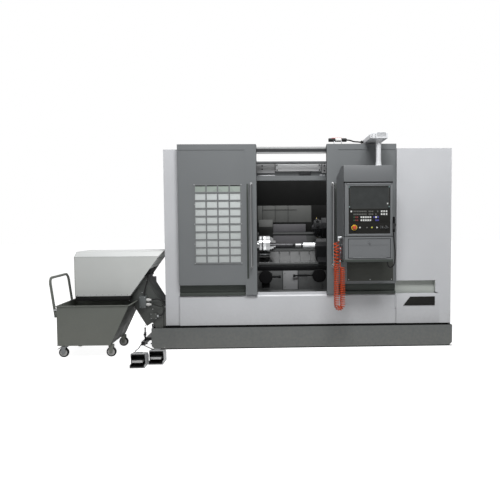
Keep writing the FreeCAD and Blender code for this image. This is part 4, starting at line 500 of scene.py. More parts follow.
def turned(stations, place, axis=(0.0, 0.0, 1.0), sides=32):
    """A round piece: each station is (distance along the axis, radius), drawn out from the one before."""
    set_aside()
    bpy.ops.mesh.primitive_circle_add(vertices=sides, radius=stations[0][1], fill_type="NGON",
        location=(0.0, 0.0, stations[0][0]))
    piece = settled(bpy.context.object)
    bpy.ops.object.mode_set(mode="EDIT")
    bpy.ops.mesh.select_all(action="SELECT")
    for (low, inner), (high, outer) in zip(stations, stations[1:]):
        bpy.ops.mesh.extrude_region_move(TRANSFORM_OT_translate={"value": (0.0, 0.0, high - low)})
        share = outer / inner
        bpy.ops.transform.resize(value=(share, share, 1.0), center_override=(0.0, 0.0, high))
    bpy.ops.mesh.select_all(action="SELECT")
    bpy.ops.mesh.normals_make_consistent(inside=False)
    bpy.ops.object.mode_set(mode="OBJECT")
    turn = Vector(axis).to_track_quat("Z", "Y").to_matrix().to_4x4()
    piece.matrix_world = Matrix.Translation(place) @ turn
    settled(piece)
    bpy.ops.object.shade_smooth_by_angle(angle=SMOOTH_ANGLE)
    return piece


def bored(piece):
    """Opens a turned piece along its axis: the two flat ends go, and the rims are bridged with a bore."""
    take_up(piece)
    bpy.ops.object.mode_set(mode="EDIT")
    bpy.ops.mesh.select_all(action="DESELECT")
    bpy.ops.mesh.select_face_by_sides(number=4, type="GREATER")
    bpy.ops.mesh.delete(type="ONLY_FACE")
    bpy.ops.mesh.select_all(action="DESELECT")
    bpy.ops.mesh.select_non_manifold()
    bpy.ops.mesh.bridge_edge_loops()
    bpy.ops.mesh.select_all(action="SELECT")
    bpy.ops.mesh.normals_make_consistent(inside=False)
    bpy.ops.object.mode_set(mode="OBJECT")
    bpy.ops.object.shade_smooth_by_angle(angle=SMOOTH_ANGLE)
    return piece


print("round pieces ready")

# %% [markdown]
# ## Workshop: bars, copies and keeping
# Tubes and cables are round bars on one smooth line.  Copies have their own mesh, several pieces are joined
# to one, and every piece that is kept rides on a body of the construction.

# %% Bars, copies and keeping


def line_of(name, points, radius, sides=4, steps=6):
    """A round bar on one smooth line through its control points."""
    data = bpy.data.curves.new(name, "CURVE")
    data.dimensions = "3D"
    data.bevel_depth = 1.0
    data.bevel_resolution = sides
    data.resolution_u = steps
    data.use_fill_caps = True
    spline = data.splines.new("NURBS")
    spline.points.add(len(points) - 1)
    for point, place in zip(spline.points, points):
        point.co = (*place, 1.0)
        point.radius = radius
    spline.order_u = 3
    spline.use_endpoint_u = True
    piece = bpy.data.objects.new(name, data)
    bpy.context.scene.collection.objects.link(piece)
    return piece


def bent_bar(points, radius, sides=4, steps=6):
    piece = take_up(line_of("bar", points, radius, sides, steps))
    bpy.ops.object.convert(target="MESH")
    bpy.ops.object.shade_smooth_by_angle(angle=math.radians(60))
    return bpy.context.object


def twin_of(piece, offset=(0.0, 0.0, 0.0), turn=None):
    twin = piece.copy()
    twin.data = piece.data.copy()
    twin.data.transform(Matrix.Translation(offset) @ (turn or Matrix()))
    bpy.context.scene.collection.objects.link(twin)
    return twin


def joined(pieces):
    set_aside()
    for piece in pieces:
        piece.select_set(True)
    bpy.context.view_layer.objects.active = pieces[0]
    if len(pieces) > 1:
        bpy.ops.object.join()
    return pieces[0]


def finished(piece, finish):
    piece.data.materials.clear()
    piece.data.materials.append(finish)
    return piece


def slabs(corners, edge=BROKEN_EDGE):
    """One piece of several blocks, each between its two corners."""
    return joined([slab(low, high, edge) for low, high in corners])


def face_plates(face, rise, sink, rectangles, edge=BROKEN_EDGE):
    """Flat plates on an upright front face; each rectangle is its left, low, right and high side."""
    return slabs(
        [((left, face - rise, low), (right, face + sink, high)) for left, low, right, high in rectangles],
        edge)


kept = []


def keep(name, piece, finish=None, body="machine", stands_for=()):
    """Names the piece, gives it its finish and its body, and hides the nodes it stands for."""
    piece.name = name
    piece.data.name = name
    if finish is not None:
        finished(piece, finish)
    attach(piece, body)
    if stands_for:
        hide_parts(*stands_for)
    kept.append(piece)
    return piece


def tally():
    """Prints the pieces that were kept since the last time, and how many faces they have."""
    faces = sum(len(piece.data.polygons) for piece in kept if piece.type == "MESH")
    print(", ".join(piece.name for piece in kept), "faces", faces)
    kept.clear()


print("workshop ready")

# %% [markdown]
# ## Screw heads
# Sheet covers are held by rows of button and socket head screws.  One head is turned with its socket, and
# copies of it, each with its own mesh, are joined to one piece for each cover.

# %% Screw heads


def screw_heads(places, radius=0.006, axis=(0.0, -1.0, 0.0), sides=12):
    """Socket head screws at the places; the axis points out of the sheet."""
    height = radius * 0.75
    head = turned([(-0.0004, radius), (height * 0.55, radius), (height, radius * 0.8),
        (height, radius * 0.46), (height * 0.35, radius * 0.42)], (0.0, 0.0, 0.0), axis, sides)
    heads = [twin_of(head, place) for place in places]
    bpy.data.objects.remove(head)
    return joined(heads)


def along(start, end, number):
    """Evenly spaced places from start to end, both ends included."""
    start, end = Vector(start), Vector(end)
    return [start.lerp(end, step / (number - 1)) for step in range(number)]


print("screws ready")

# %% [markdown]
# ## Pedal leads
# Each pedal has a mains-flex lead about 9 mm thick that lies on the floor in loose bends and goes into the
# foot rail at the tank's end.  Its route is the one of the construction, on one smooth NURBS line of order
# 3 that starts and ends on its end points.  Both ends are held, so its far end is the object.

# %% Pedal leads
LEAD_DIAMETER = 0.009
LEAD_ROUTES = {
    "pedal_lead_1": [(-1.768, -0.6403, 0.024), (-1.768, -0.704, 0.024), (-1.7704, -0.793, 0.0048),
        (-1.7789, -0.9039, 0.0048), (-1.764, -1.0225, 0.0048), (-1.7193, -1.1296, 0.0048),
        (-1.6431, -1.2444, 0.0048), (-1.62, -1.339, 0.024), (-1.62, -1.4047, 0.024)],
    "pedal_lead_2": [(-1.752, -0.6403, 0.024), (-1.752, -0.704, 0.024), (-1.6616, -0.7819, 0.0048),
        (-1.5784, -0.8851, 0.0048), (-1.5216, -0.9915, 0.0048), (-1.5016, -1.1044, 0.0048),
        (-1.432, -1.219, 0.024), (-1.432, -1.2847, 0.024)]}


def measured_length(curve):
    """Length of a curve's own line, read from it without its thickness."""
    thickness = curve.data.bevel_depth
    curve.data.bevel_depth = 0.0
    mesh = bpy.data.meshes.new_from_object(curve)
    curve.data.bevel_depth = thickness
    places = [vertex.co for vertex in mesh.vertices]
    total = sum((b - a).length for a, b in zip(places, places[1:]))
    bpy.data.meshes.remove(mesh)
    return total


for node_name, route in LEAD_ROUTES.items():
    lead = keep("lead_line_" + node_name[-1],
        line_of("lead_line_" + node_name[-1], route, LEAD_DIAMETER / 2, steps=10), CABLE_BLACK,
        stands_for=[node_name])
    print(lead.name, "length", round(measured_length(lead), 3))
kept.clear()

# %% [markdown]
# ## Coiled air hose
# The hose is a tight plastic coil, 56 mm across, that hangs from the outlet on the pendant's left side,
# turns round at the bottom and climbs to the blow gun.  Its upper turns are drawn apart by its own weight,
# and the others lie almost touching.  Twelve control points for each turn draw it on one spline, from the
# outlet to the gun.

# %% Air hose
HOSE_DIAMETER = 0.009
COIL_RADIUS = 0.0262
COIL_X = 0.33
COIL_Y = -1.1
LEG_SPACING = 0.062
TURN_POINTS = 12
HOSE_TOP = (0.3535, -1.1, 1.1677)
HOSE_END = (0.3685, -1.1, 0.9437)
# stretches of the long leg: (turns, height at the start, height at the end)
LOOSE_STRETCH = (7, 1.14, 0.905)
TIGHT_STRETCH = (22, 0.905, 0.488)
FOOT_TURNS = 6
FOOT_RADIUS = 0.022
FOOT_NESTING = 0.009
SHORT_STRETCH = (21, 0.488, 0.886)
COIL_WANDER = 0.0008


def coil_point(turn):
    """Middle of the hose after a number of turns: down the long leg, round the foot, up the short leg."""
    radius = COIL_RADIUS - COIL_WANDER + COIL_WANDER * math.sin(1.7 * turn)
    angle = 2 * math.pi * turn
    depth = COIL_Y + radius * math.sin(angle)
    passed = 0
    for turns, high, low in (LOOSE_STRETCH, TIGHT_STRETCH):
        if turn <= passed + turns:
            height = high + (low - high) * (turn - passed) / turns
            return (COIL_X + radius * math.cos(angle), depth, height)
        passed += turns
    if turn <= passed + FOOT_TURNS:
        sweep = math.pi * (turn - passed) / FOOT_TURNS
        bend = math.sin(sweep) ** 0.5 if 0.0 < sweep < math.pi else 0.0
        # every other turn is wound smaller, so that the turns nest on the inside of the bend
        nested = FOOT_RADIUS - FOOT_NESTING * (1 - math.cos(math.pi * (turn - passed))) / 2
        radius += (nested - radius) * bend
        depth = COIL_Y + radius * math.sin(angle)
        reach = LEG_SPACING / 2 - radius * math.cos(angle)
        return (
            COIL_X + LEG_SPACING / 2 - reach * math.cos(sweep),
            depth,
            SHORT_STRETCH[1] - reach * math.sin(sweep))
    passed += FOOT_TURNS
    turns, low, high = SHORT_STRETCH
    return (
        COIL_X + LEG_SPACING - radius * math.cos(angle),
        depth,
        low + (high - low) * (turn - passed) / turns)


all_turns = LOOSE_STRETCH[0] + TIGHT_STRETCH[0] + FOOT_TURNS + SHORT_STRETCH[0]
coil = [coil_point(step / TURN_POINTS) for step in range(all_turns * TURN_POINTS + 1)]
hose_points = [HOSE_TOP, *coil, HOSE_END]
hose = keep("coiled_hose",
    line_of("coiled_hose", hose_points, HOSE_DIAMETER / 2, sides=2, steps=2), HOSE_ORANGE, "pendant",
    ["air_hose"])
print("hose turns", all_turns, "length", round(measured_length(hose), 3))

# %% [markdown]
# ## Blow gun and hose fittings
# The gun hangs on a peg by the ring at its top, with the hose pushed into its foot.  Its body is a moulded
# grip with soft edges, the nozzle is a turned steel tube, and the trigger is a folded blade.  At the other
# end the hose leaves a plated elbow through a nut and a white collar.

# %% Gun and fittings
GUN_X = 0.3685
GUN_FOOT = 0.944
gun_grip = formed([(-1.113, GUN_FOOT + 0.012), (-1.115, GUN_FOOT + 0.1), (-1.122, GUN_FOOT + 0.122),
    (-1.122, GUN_FOOT + 0.142), (-1.104, GUN_FOOT + 0.15), (-1.09, GUN_FOOT + 0.14),
    (-1.087, GUN_FOOT + 0.08), (-1.089, GUN_FOOT + 0.012)], "X", GUN_X - 0.01, GUN_X + 0.01, edge=0.0045)
RING = ((-0.004, 0.146), (-0.01, 0.166), (-0.008, 0.182), (0.008, 0.182), (0.01, 0.166), (0.004, 0.146))
gun_ring = bent_bar([(GUN_X, COIL_Y + y, GUN_FOOT + z) for y, z in RING], 0.0022)
gun = keep("gun_body", joined([finished(gun_grip, GUN_RED), finished(gun_ring, BLACKED)]),
    body="pendant", stands_for=["air_gun"])
gun_nozzle = keep("gun_nozzle", turned([(0.0, 0.0075), (0.012, 0.0075), (0.014, 0.0055),
    (0.022, 0.0055), (0.024, 0.0038), (0.066, 0.0034), (0.068, 0.0026)], (GUN_X, -1.121, GUN_FOOT + 0.132),
    FRONT, 20), ZINC, "pendant")
gun_trigger = keep("gun_trigger", formed([(-1.113, GUN_FOOT + 0.112), (-1.13, GUN_FOOT + 0.088),
    (-1.127, GUN_FOOT + 0.028), (-1.123, GUN_FOOT + 0.028), (-1.126, GUN_FOOT + 0.086),
    (-1.113, GUN_FOOT + 0.104)], "X", GUN_X - 0.006, GUN_X + 0.006, edge=0.0008), BLACKED, "pendant")
gun_nut = keep("gun_hose_nut", turned(
    [(0.0, 0.0062), (0.001, 0.0072), (0.011, 0.0072), (0.012, 0.0086), (0.02, 0.0086), (0.021, 0.0076)],
    (GUN_X, COIL_Y, GUN_FOOT - 0.004), sides=24), CHROME, "pendant")
outlet_collar = keep("outlet_collar", turned(
    [(0.0, 0.0064), (0.001, 0.0082), (0.009, 0.0082), (0.01, 0.0068), (0.014, 0.0068)],
    (0.3535, COIL_Y, 1.154), sides=24), PLASTIC_WHITE, "pendant")
keep("outlet_elbow", joined([
    turned([(0.0, 0.0098), (0.001, 0.0106), (0.012, 0.0106), (0.013, 0.0098), (0.026, 0.0094)],
        (0.3535, COIL_Y, 1.1665), sides=6),
    turned([(0.0, 0.0105), (0.001, 0.0115), (0.026, 0.0115), (0.028, 0.0135), (0.036, 0.0135)],
        (0.3435, COIL_Y, 1.191), RIGHT, sides=24)]), ZINC, "pendant")
tally()

# %% [markdown]
# ## Cable of the hand unit
# A soft black cable hangs under the hand unit on the pendant's right side and goes back up under the case.
# It is held at both ends, so it is a piece of the pendant and not a free cord.

# %% Hand unit's cable
UNIT_Y = -1.112
unit_line = [(x, UNIT_Y, z) for x, z in ((0.915, 1.2357), (0.92, 1.15), (0.931, 1.06), (0.931, 0.96),
    (0.921, 0.9), (0.884, 0.872), (0.856, 0.895), (0.852, 0.945))]
keep("unit_cable", bent_bar(unit_line, 0.007, steps=12), CABLE_BLACK, "pendant",
    ["handset_cable"])
tally()

# %% [markdown]
# ## Bands and pocket under the doors
# Below each door the sunk band between its stile and the end of the door's way, and a strip along its sill,
# are painted dark grey-green as painted shade under the door.  Right of the right door the white cover has a
# pocket with a slanted end, whose inside and edges are painted pale grey as painted shade in the pocket.
# They are thin folded sheets, so each is drawn from its outline and given its thickness.  The doors slide in
# front of them with room to spare.

# %% Bands and pocket
BAND_FRONT, BAND_BACK = -0.795, -0.7895
for side, start, end, top in (("left", -1.318, -0.613, 0.684), ("right", 0.389, 1.006, 0.681)):
    outline = [(start, 0.601), (end, 0.601), (end, top), (start, top)]
    keep(side + "_door_shade_band", formed(outline, "Y", BAND_FRONT, BAND_BACK), SHADE_BAND_PAINT)
for side, start, end in (("left", -1.316, -0.613), ("right", 0.389, 1.006)):
    strip = slab((start, -0.8205, 0.567), (end, -0.792, 0.6005), 0.002)
    keep(side + "_sill_shade", strip, SHADE_BAND_PAINT)
# painted shade: the pocket's inside and its top and slanted edges are greyer than the cover
pocket_outline = [(1.0095, 0.571), (1.48, 0.571), (1.437, 0.59), (1.437, 0.71), (1.0095, 0.71)]
keep("pocket_inside_shade", formed(pocket_outline, "Y", BAND_BACK, -0.7865), POCKET_SHADE_GREY)
keep("pocket_edge_shade", slabs([
    ((1.0095, -0.8265, 0.7105), (1.4385, -0.787, 0.7118)),
    ((1.4368, -0.8265, 0.59), (1.4388, -0.787, 0.7112))], 0.0004), POCKET_SHADE_GREY)
tally()

# %% [markdown]
# ## Plain plate and the black gap
# The lower cover carries one plain plate, black for most of its length and with a slanted white end.  The
# covers stand on a plinth that is set back from the tank, and black strips in that gap are painted shade,
# which draws a black line round the machine.

# %% Plate and gap
keep("plain_plate",
    formed([(1.089, 0.44), (1.434, 0.44), (1.434, 0.536), (1.165, 0.536)], "Y", -0.8335, -0.8255),
    PANEL_BLACK)
# painted shade: black strips in the set-back gap between the covers and the tank
keep("base_gap_shade", slabs([
    ((-1.476, -0.8095, 0.2285), (1.61, -0.7765, 0.2475)),
    ((-1.476, 0.7865, 0.2285), (1.61, 0.8035, 0.2475)),
    ((1.594, -0.7765, 0.2285), (1.61, 0.7865, 0.2475)),
    ((-1.476, -0.7765, 0.2285), (-1.46, 0.7865, 0.2475))], 0.002), BLACK_AND_SHADE)
tally()

# %% [markdown]
# ## Door rail and header
# The rail is a bright folded track, and along its lower half, where the rollers run, a dark strip is painted
# shade in its slot.  Behind it, over the opening, the header carries three cover plates, of which the middle
# one is white, with a switch box under them and two short strips of light metal at the ends.

# %% Rail and header
# painted shade in the rail's slot
keep("rail_slot_shade", slab((-1.318, -0.7885, 2.0995), (1.006, -0.7775, 2.1345), 0.0008),
    DARK_PAINT)
HEADER_FACE = -0.604
for part, left, right, low, high, rise, slot, finish in (
    ("left", -0.498, -0.286, 1.893, 1.993, 0.004, "door_grey", HEADER_GREY),
    ("middle", -0.276, 0.221, 1.912, 1.992, 0.008, "cover_white", HEADER_WHITE),
    ("right", 0.231, 0.402, 1.893, 1.993, 0.004, "door_grey", HEADER_GREY)):
    plate = slab((left, HEADER_FACE - rise, low), (right, HEADER_FACE - rise + 0.008, high))
    keep("header_plate_" + part, plate, finish)
keep("header_switch_box",
    slab((-0.012, HEADER_FACE - 0.01, 1.866), (0.112, HEADER_FACE + 0.012, 1.908), 0.003), DARK_PAINT)
keep("header_strips", slabs(
    [((-0.47, -0.642, 1.8615), (-0.285, -0.602, 1.8675)), ((0.205, -0.642, 1.8615), (0.3, -0.602, 1.8675))],
    0.0015), ZINC)
header_places = [(x, HEADER_FACE - 0.004, z)
    for x, z in ((-0.425, 1.972), (-0.425, 1.935), (0.262, 1.972), (0.262, 1.915))]
header_places += [(x, HEADER_FACE - 0.008, z) for x in (-0.262, 0.207) for z in (1.98, 1.924)]
keep("header_screws", screw_heads(header_places, 0.008), DARK_PAINT)
tally()

# %% [markdown]
# ## Inside the chamber: rear panels and slide cover
# Through the opening the rear wall shows a row of grey panels with narrow folds along their tops, and in
# front of them a plain grey cover stands on the upper ways.  Everything above them is dark, and near-black
# sheets round them are painted shade.

# %% Rear panels
REAR_WALL = 0.4335
PANEL_ENDS = ((-0.496, -0.437), (-0.433, -0.272), (-0.268, -0.105), (-0.101, 0.198))
FOLD_ENDS = ((-0.43, -0.275), (-0.266, -0.107), (-0.099, 0.01))
rear_panels = slabs(
    [((left, REAR_WALL - 0.012, 1.352), (right, REAR_WALL, 1.566)) for left, right in PANEL_ENDS], 0.003)
keep("rear_panels", rear_panels, INSIDE_GREY)
folds = slabs(
    [((left, REAR_WALL - 0.02, 1.512), (right, REAR_WALL - 0.011, 1.524)) for left, right in FOLD_ENDS],
    0.002)
keep("rear_panel_folds", folds, INSIDE_GREY)
BED_TILT = math.radians(30)


def on_slant(reach, height):
    """Y and Z of a place on the bed: its reach up the slant and its height square to it."""
    return (
        -0.34 + reach * math.cos(BED_TILT) - height * math.sin(BED_TILT),
        0.82 + reach * math.sin(BED_TILT) + height * math.cos(BED_TILT))


def slant_plate(reach, height, ends, edge):
    """A plate on the bed: from and to up the slant, from and to square to it, and its two ends along X."""
    (near, far), (low, high) = reach, height
    outline = [on_slant(near, low), on_slant(near, high), on_slant(far, high), on_slant(far, low)]
    return formed(outline, "X", ends[0], ends[1], edge)


SLIDE_PAINT = painted("slide_cover_paint", (0.11, 0.108, 0.115), roughness=0.5, gloss=0.2)
keep("slide_cover", joined([
    slab((-0.298, 0.34, 1.2222), (0.12, 0.4272, 1.326), 0.006),
    slant_plate((0.5, 0.79), (0.0004, 0.003), (-0.298, 0.12), 0.0008)]), SLIDE_PAINT)
keep("slide_side_cover", slant_plate((0.52, 0.7), (0.0235, 0.25), (-0.478, -0.306), 0.006),
    INSIDE_GREY)
tally()

# %% [markdown]
# ## Chuck, jaws and bar
# The chuck's body has three slots for its jaws and comes from the construction, so two bright rims are
# turned and fitted round it.  Each jaw gets its steps and two screws, which are drawn along the first jaw
# and turned to the others.

# %% Chuck
AXIS = Vector((0.0, -0.24974, 1.07765))


def round_band(x, radius, width, rise, ease, sides=48):
    """A ring on the spindle's line whose left end is at x, with both of its edges eased."""
    stations = [(0.0, radius), (ease, radius + rise), (width - ease, radius + rise), (width, radius)]
    return turned(stations, AXIS + Vector((x, 0, 0)), RIGHT, sides)


keep("chuck_rings", joined([
    round_band(-0.462, 0.1195, 0.0155, 0.0008, 0.0015, 64),
    round_band(-0.44, 0.1195, 0.0515, 0.0008, 0.0015, 64)]), CHROME, "spindle")


def jaw_serrations(number):
    """Steps and a screw on one top jaw, drawn along the jaw and turned to its slot."""
    parts = [
        slab((-0.343, -0.015, 0.0385 + step * 0.0085), (-0.3415, 0.015, 0.0425 + step * 0.0085), 0.0005)
        for step in range(7)]
    for x, z in ((-0.3235, 0.0905), (-0.3055, 0.071)):
        parts.append(turned(
            [(0.0, 0.0075), (0.004, 0.0075), (0.005, 0.0065), (0.005, 0.004), (0.001, 0.0038)], (x, 0.0, z),
            RIGHT, 16))
    piece = joined(parts)
    turn = Matrix.Rotation(math.radians(120.0 * (number - 1)), 4, "X")
    piece.data.transform(Matrix.Translation(AXIS) @ turn)
    keep("jaw_details_" + str(number), piece, BLACKED, "jaw_" + str(number))


for number in (1, 2, 3):
    jaw_serrations(number)
keep("work_bands",
    joined([round_band(x, 0.0308, 0.0053, 0.0004, 0.0008) for x in (-0.225, -0.16, -0.092)]), TURNED,
    "spindle")
keep("centre_nut", turned([(0.0, 0.027), (0.002, 0.03), (0.018, 0.03), (0.02, 0.028)],
    AXIS + Vector((0.02, 0, 0)), RIGHT, 32), BLACKED, "live_centre")
keep("quill_ring", round_band(0.05, 0.0343, 0.011, 0.0025, 0.001), CHROME, "quill")
keep("quill_wiper", bored(turned(
    [(0.0, 0.035), (0.0005, 0.048), (0.007, 0.05), (0.0118, 0.05), (0.012, 0.035)],
    AXIS + Vector((0.184, 0, 0)), RIGHT, 48)), BLACKED, "tailstock")
tally()

# %% [markdown]
# ## Way covers and guard panels
# The cover over the front ways is a set of plates that slide under each other, so each plate ends in a
# folded lip that stands up a little.  A white strip along its lower edge is a painted highlight, and black
# strips along the bed's front edge, under the cover's overhang, are painted shade.  The upright guard below
# is a row of plain panels whose seams are dark.

# %% Way covers
lips = []
for step in range(12):
    x = -0.4785 + step * 0.12
    lips.append(slant_plate((0.088, 0.326), (0.0178, 0.0232), (x, x + 0.016), 0.0012))
keep("way_cover_lips", joined(lips), COVER_STEEL)
CHAMBER_ENDS = (-0.4985, 1.0065)
# painted shade: black strips along the bed's front edge, under the way cover's overhang
apron_outline = [(-0.3755, 0.7905), (-0.3755, 0.799), (-0.33, 0.799), (-0.33, 0.7945)]
keep("apron_edge_shade", formed(apron_outline, "X", *CHAMBER_ENDS, 0.0015), BLACK_AND_SHADE)
keep("bed_edge_shade", joined([
    slab((CHAMBER_ENDS[0], -0.3465, 0.8005), (CHAMBER_ENDS[1], -0.3403, 0.8215), 0.001),
    slant_plate((0.0005, 0.032), (0.0002, 0.004), CHAMBER_ENDS, 0.001)]), BLACK_AND_SHADE)
# painted highlight along the way cover's lower edge
keep("way_cover_highlight",
    slant_plate((0.0845, 0.0875), (0.0005, 0.0215), (-0.4785, 0.984), 0.0006), HEADER_WHITE)
GUARD_FACE = -0.3743
keep("guard_panel_light",
    slab((-0.196, GUARD_FACE - 0.004, 0.572), (-0.028, GUARD_FACE, 0.79), 0.0015),
    painted("guard_panel_paint", (0.25, 0.253, 0.258), roughness=0.5, gloss=0.25))
keep("guard_seams", slabs([((x, GUARD_FACE - 0.005, 0.57), (x + 0.006, GUARD_FACE, 0.791))
    for x in (-0.204, -0.024, 0.252, 0.56)], 0.0008), DARK_PAINT)
nozzle_boss = turned([(0.0, 0.03), (0.012, 0.03), (0.016, 0.07), (0.026, 0.076), (0.052, 0.076),
    (0.058, 0.07), (0.06, 0.04)], (0.218, GUARD_FACE, 0.733), FRONT, 40)
nozzle_bar = turned([(0.0, 0.007), (0.07, 0.007), (0.072, 0.011), (0.095, 0.011), (0.165, 0.009),
    (0.205, 0.009), (0.207, 0.013), (0.228, 0.013), (0.232, 0.01)], (0.15, GUARD_FACE - 0.03, 0.735),
    LEFT, 20)
left_boss = twin_of(nozzle_boss, (-0.615, 0.0, -0.012))
left_bar = turned([(0.0, 0.009), (0.095, 0.009), (0.097, 0.014), (0.118, 0.014), (0.122, 0.01)],
    (-0.345, GUARD_FACE - 0.03, 0.722), RIGHT, 20)
left_stay = slab((-0.44, GUARD_FACE - 0.034, 0.6), (-0.352, GUARD_FACE, 0.7), 0.006)
keep("flush_nozzles", joined([nozzle_boss, nozzle_bar, left_boss, left_bar, left_stay]), BLACK_AND_SHADE)
# painted shade: near-black sheets on the rear wall above, below and right of the grey panels, for the deep
# chamber
SHADE_SHEET_FACE, SHADE_SHEET_LEFT, SHADE_SHEET_RIGHT = 0.4275, -0.4995, 1.0075
keep("rear_wall_shade", slabs([
    ((SHADE_SHEET_LEFT, SHADE_SHEET_FACE, 1.23), (SHADE_SHEET_RIGHT, REAR_WALL, 1.346)),
    ((SHADE_SHEET_LEFT, SHADE_SHEET_FACE, 1.57), (SHADE_SHEET_RIGHT, REAR_WALL, 1.898)),
    ((0.206, SHADE_SHEET_FACE, 1.346), (SHADE_SHEET_RIGHT, REAR_WALL, 1.57))], 0.001), CHAMBER_SHADE_PAINT)
apron_places = [(-0.475 + column * 0.15, -0.3745, z) for column in range(10) for z in (0.76, 0.6)]
keep("apron_screws", screw_heads(apron_places, 0.006), BLACKED)
tally()

# %% [markdown]
# ## Turret
# The tool disc turns about its middle, where it has a hub cap with a ring of clamp screws.  Each of its
# eight stations has a clamp and the tip of a tool: both are drawn once, upright, and turned about the
# disc's axis to their place.

# %% Turret
TURRET = Vector((0.0, 0.09667, 1.27765))
hub = turned([(0.0, 0.052), (0.008, 0.052), (0.012, 0.048), (0.012, 0.034), (0.022, 0.032), (0.026, 0.026)],
    TURRET + Vector((0.2052, 0, 0)), LEFT, 48)
spots = [TURRET + Vector((0.205, 0.07 * math.sin(angle), 0.07 * math.cos(angle)))
    for angle in (math.radians(45.0 * step + 22.5) for step in range(8))]
keep("turret_hub", joined([hub, screw_heads(spots, 0.007, LEFT)]), BLACKED, "turret")
tips = []
for step in range(8):
    turn = Matrix.Rotation(math.radians(45.0 * step + 30.0), 4, "X")
    reach = 0.0905 + (0.03 if step % 2 else 0.024)
    tip = formed([(0.236, reach), (0.246, reach), (0.241, reach + 0.0075)], "Y", -0.0105, -0.008,
        edge=0.0004)
    clamp = slab((0.229, -0.012, 0.1), (0.262, -0.006, 0.1085), 0.0012)
    tip.data.transform(Matrix.Translation(TURRET) @ turn)
    clamp.data.transform(Matrix.Translation(TURRET) @ turn)
    tips += [finished(tip, BRASS), finished(clamp, BLACKED)]
keep("tool_tips", joined(tips), body="turret")
tally()

# %% [markdown]
# ## Door handles
# Each door has a long upright grab bar, bent from steel tube, with a flange at each foot.  It is one smooth
# line with control points close to its two bends, given the tube's thickness and made a mesh.

# %% Door handles
DOOR_FACE = -0.836
HANDLE_LOW = 0.88
HANDLE_HIGH = 1.752
HANDLE_OUT = -0.894
BEND = 0.024


def door_handle(side, x):
    bar = bent_bar([(x, DOOR_FACE, HANDLE_HIGH), (x, DOOR_FACE - 0.034, HANDLE_HIGH),
        (x, HANDLE_OUT, HANDLE_HIGH), (x, HANDLE_OUT, HANDLE_HIGH - BEND),
        (x, HANDLE_OUT, HANDLE_HIGH - 0.1), (x, HANDLE_OUT, HANDLE_LOW + 0.1),
        (x, HANDLE_OUT, HANDLE_LOW + BEND), (x, HANDLE_OUT, HANDLE_LOW), (x, DOOR_FACE - 0.034, HANDLE_LOW),
        (x, DOOR_FACE, HANDLE_LOW)], 0.0118, sides=6, steps=8)
    feet = [
        turned([(0.0, 0.02), (0.004, 0.02), (0.006, 0.017), (0.009, 0.0125)], (x, DOOR_FACE, z), FRONT)
        for z in (HANDLE_LOW, HANDLE_HIGH)]
    keep(side + "_grab_bar", joined([bar] + feet), UPRIGHT, side + "_door", [side + "_door_handle"])


door_handle("left", -0.545)
door_handle("right", 0.328)
tally()

# %% [markdown]
# ## Door trims
# The doors are folded sheet with a plain upper fascia.  The screws of the window's lattice and a rubber lip
# on each closing edge are what a close look finds.  A dark strip along each grab bar is painted shade from
# the bar, and a dark plate with screws on the right door under the pendant is the pendant's painted shadow.

# %% Door trims
LATTICE_FACE = -0.838
LATTICE_ROWS = (0.919, 1.125, 1.336, 1.547, 1.753)
lattice_places = [(x, LATTICE_FACE, z) for x in (-1.145, -0.649) for z in LATTICE_ROWS]
keep("lattice_screws", screw_heads(lattice_places, 0.0055), ZINC, "left_door")
for side, x in (("left", -0.4875), ("right", 0.2595)):
    lip = slab((x, -0.828, 0.58), (x + 0.004, -0.806, 2.17), 0.0015)
    keep(side + "_door_lip", lip, TYRE_BLACK, side + "_door")
# painted shade: a dark strip along each grab bar
for side, start, end in (("left", -0.592, -0.575), ("right", 0.352, 0.366)):
    bar_shade = face_plates(DOOR_FACE, 0.0004, 0.0015, [(start, 0.75, end, 1.76)], 0.0006)
    keep(side + "_door_bar_shade", bar_shade, SHADE_BAND_PAINT, side + "_door")
# painted shadow: the pendant's shadow on the right door, made as a dark plate with screws
PLATE_FACE = -0.8338
keep("right_door_pendant_shadow", joined([
    finished(slab((0.478, PLATE_FACE, 0.712), (0.978, -0.8316, 0.948), 0.0008), SHADE_PAINT),
    finished(screw_heads([(x, PLATE_FACE, z) for x in (0.496, 0.728, 0.96) for z in (0.728, 0.932)], 0.005,
        sides=8), ZINC)]), body="right_door")
tally()

# %% [markdown]
# ## Pendant: hood lip, gaps and edges
# The control pendant is a folded case with a deep hood over its panel.  Narrow black gaps run round the
# panel frame and the document box, and the black strip under the hood lip is also painted shade from the
# hood.  A dark strip round the case's foot is painted shade.  These are thin slabs fitted over the case.

# %% Pendant case
FACE = -1.16
CASE_LEFT, CASE_RIGHT = 0.4, 0.897
BOX_LEFT, BOX_RIGHT = 0.4415, 0.8765
FRAME_LEFT, FRAME_RIGHT = 0.418, 0.891
keep("hood_lip", slab((0.3985, FACE - 0.0008, 1.7535), (0.8985, -1.1275, 1.9165), 0.003),
    PENDANT_GREY, "pendant")
# the first strip, right under the hood lip, is partly a gap and partly painted shade from the hood; the
# others are dark joints
keep("case_gaps", joined([
    face_plates(FACE, 0.001, 0.004, [(CASE_LEFT, 1.74, CASE_RIGHT, 1.753)], 0.0008),
    face_plates(FACE, 0.0006, 0.004,
        [(CASE_LEFT, 1.203, 0.406, 1.7445), (CASE_LEFT, 1.196, CASE_RIGHT, 1.203)], 0.0008),
    face_plates(FACE, 0.0004, 0.004, [(BOX_LEFT, 0.98, 0.4468, 1.1785), (0.8713, 0.98, BOX_RIGHT, 1.1785),
        (BOX_LEFT, 1.1735, BOX_RIGHT, 1.1785), (BOX_LEFT, 0.979, BOX_RIGHT, 0.9845)], 0.0005)]), BLACK_AND_SHADE,
    "pendant")
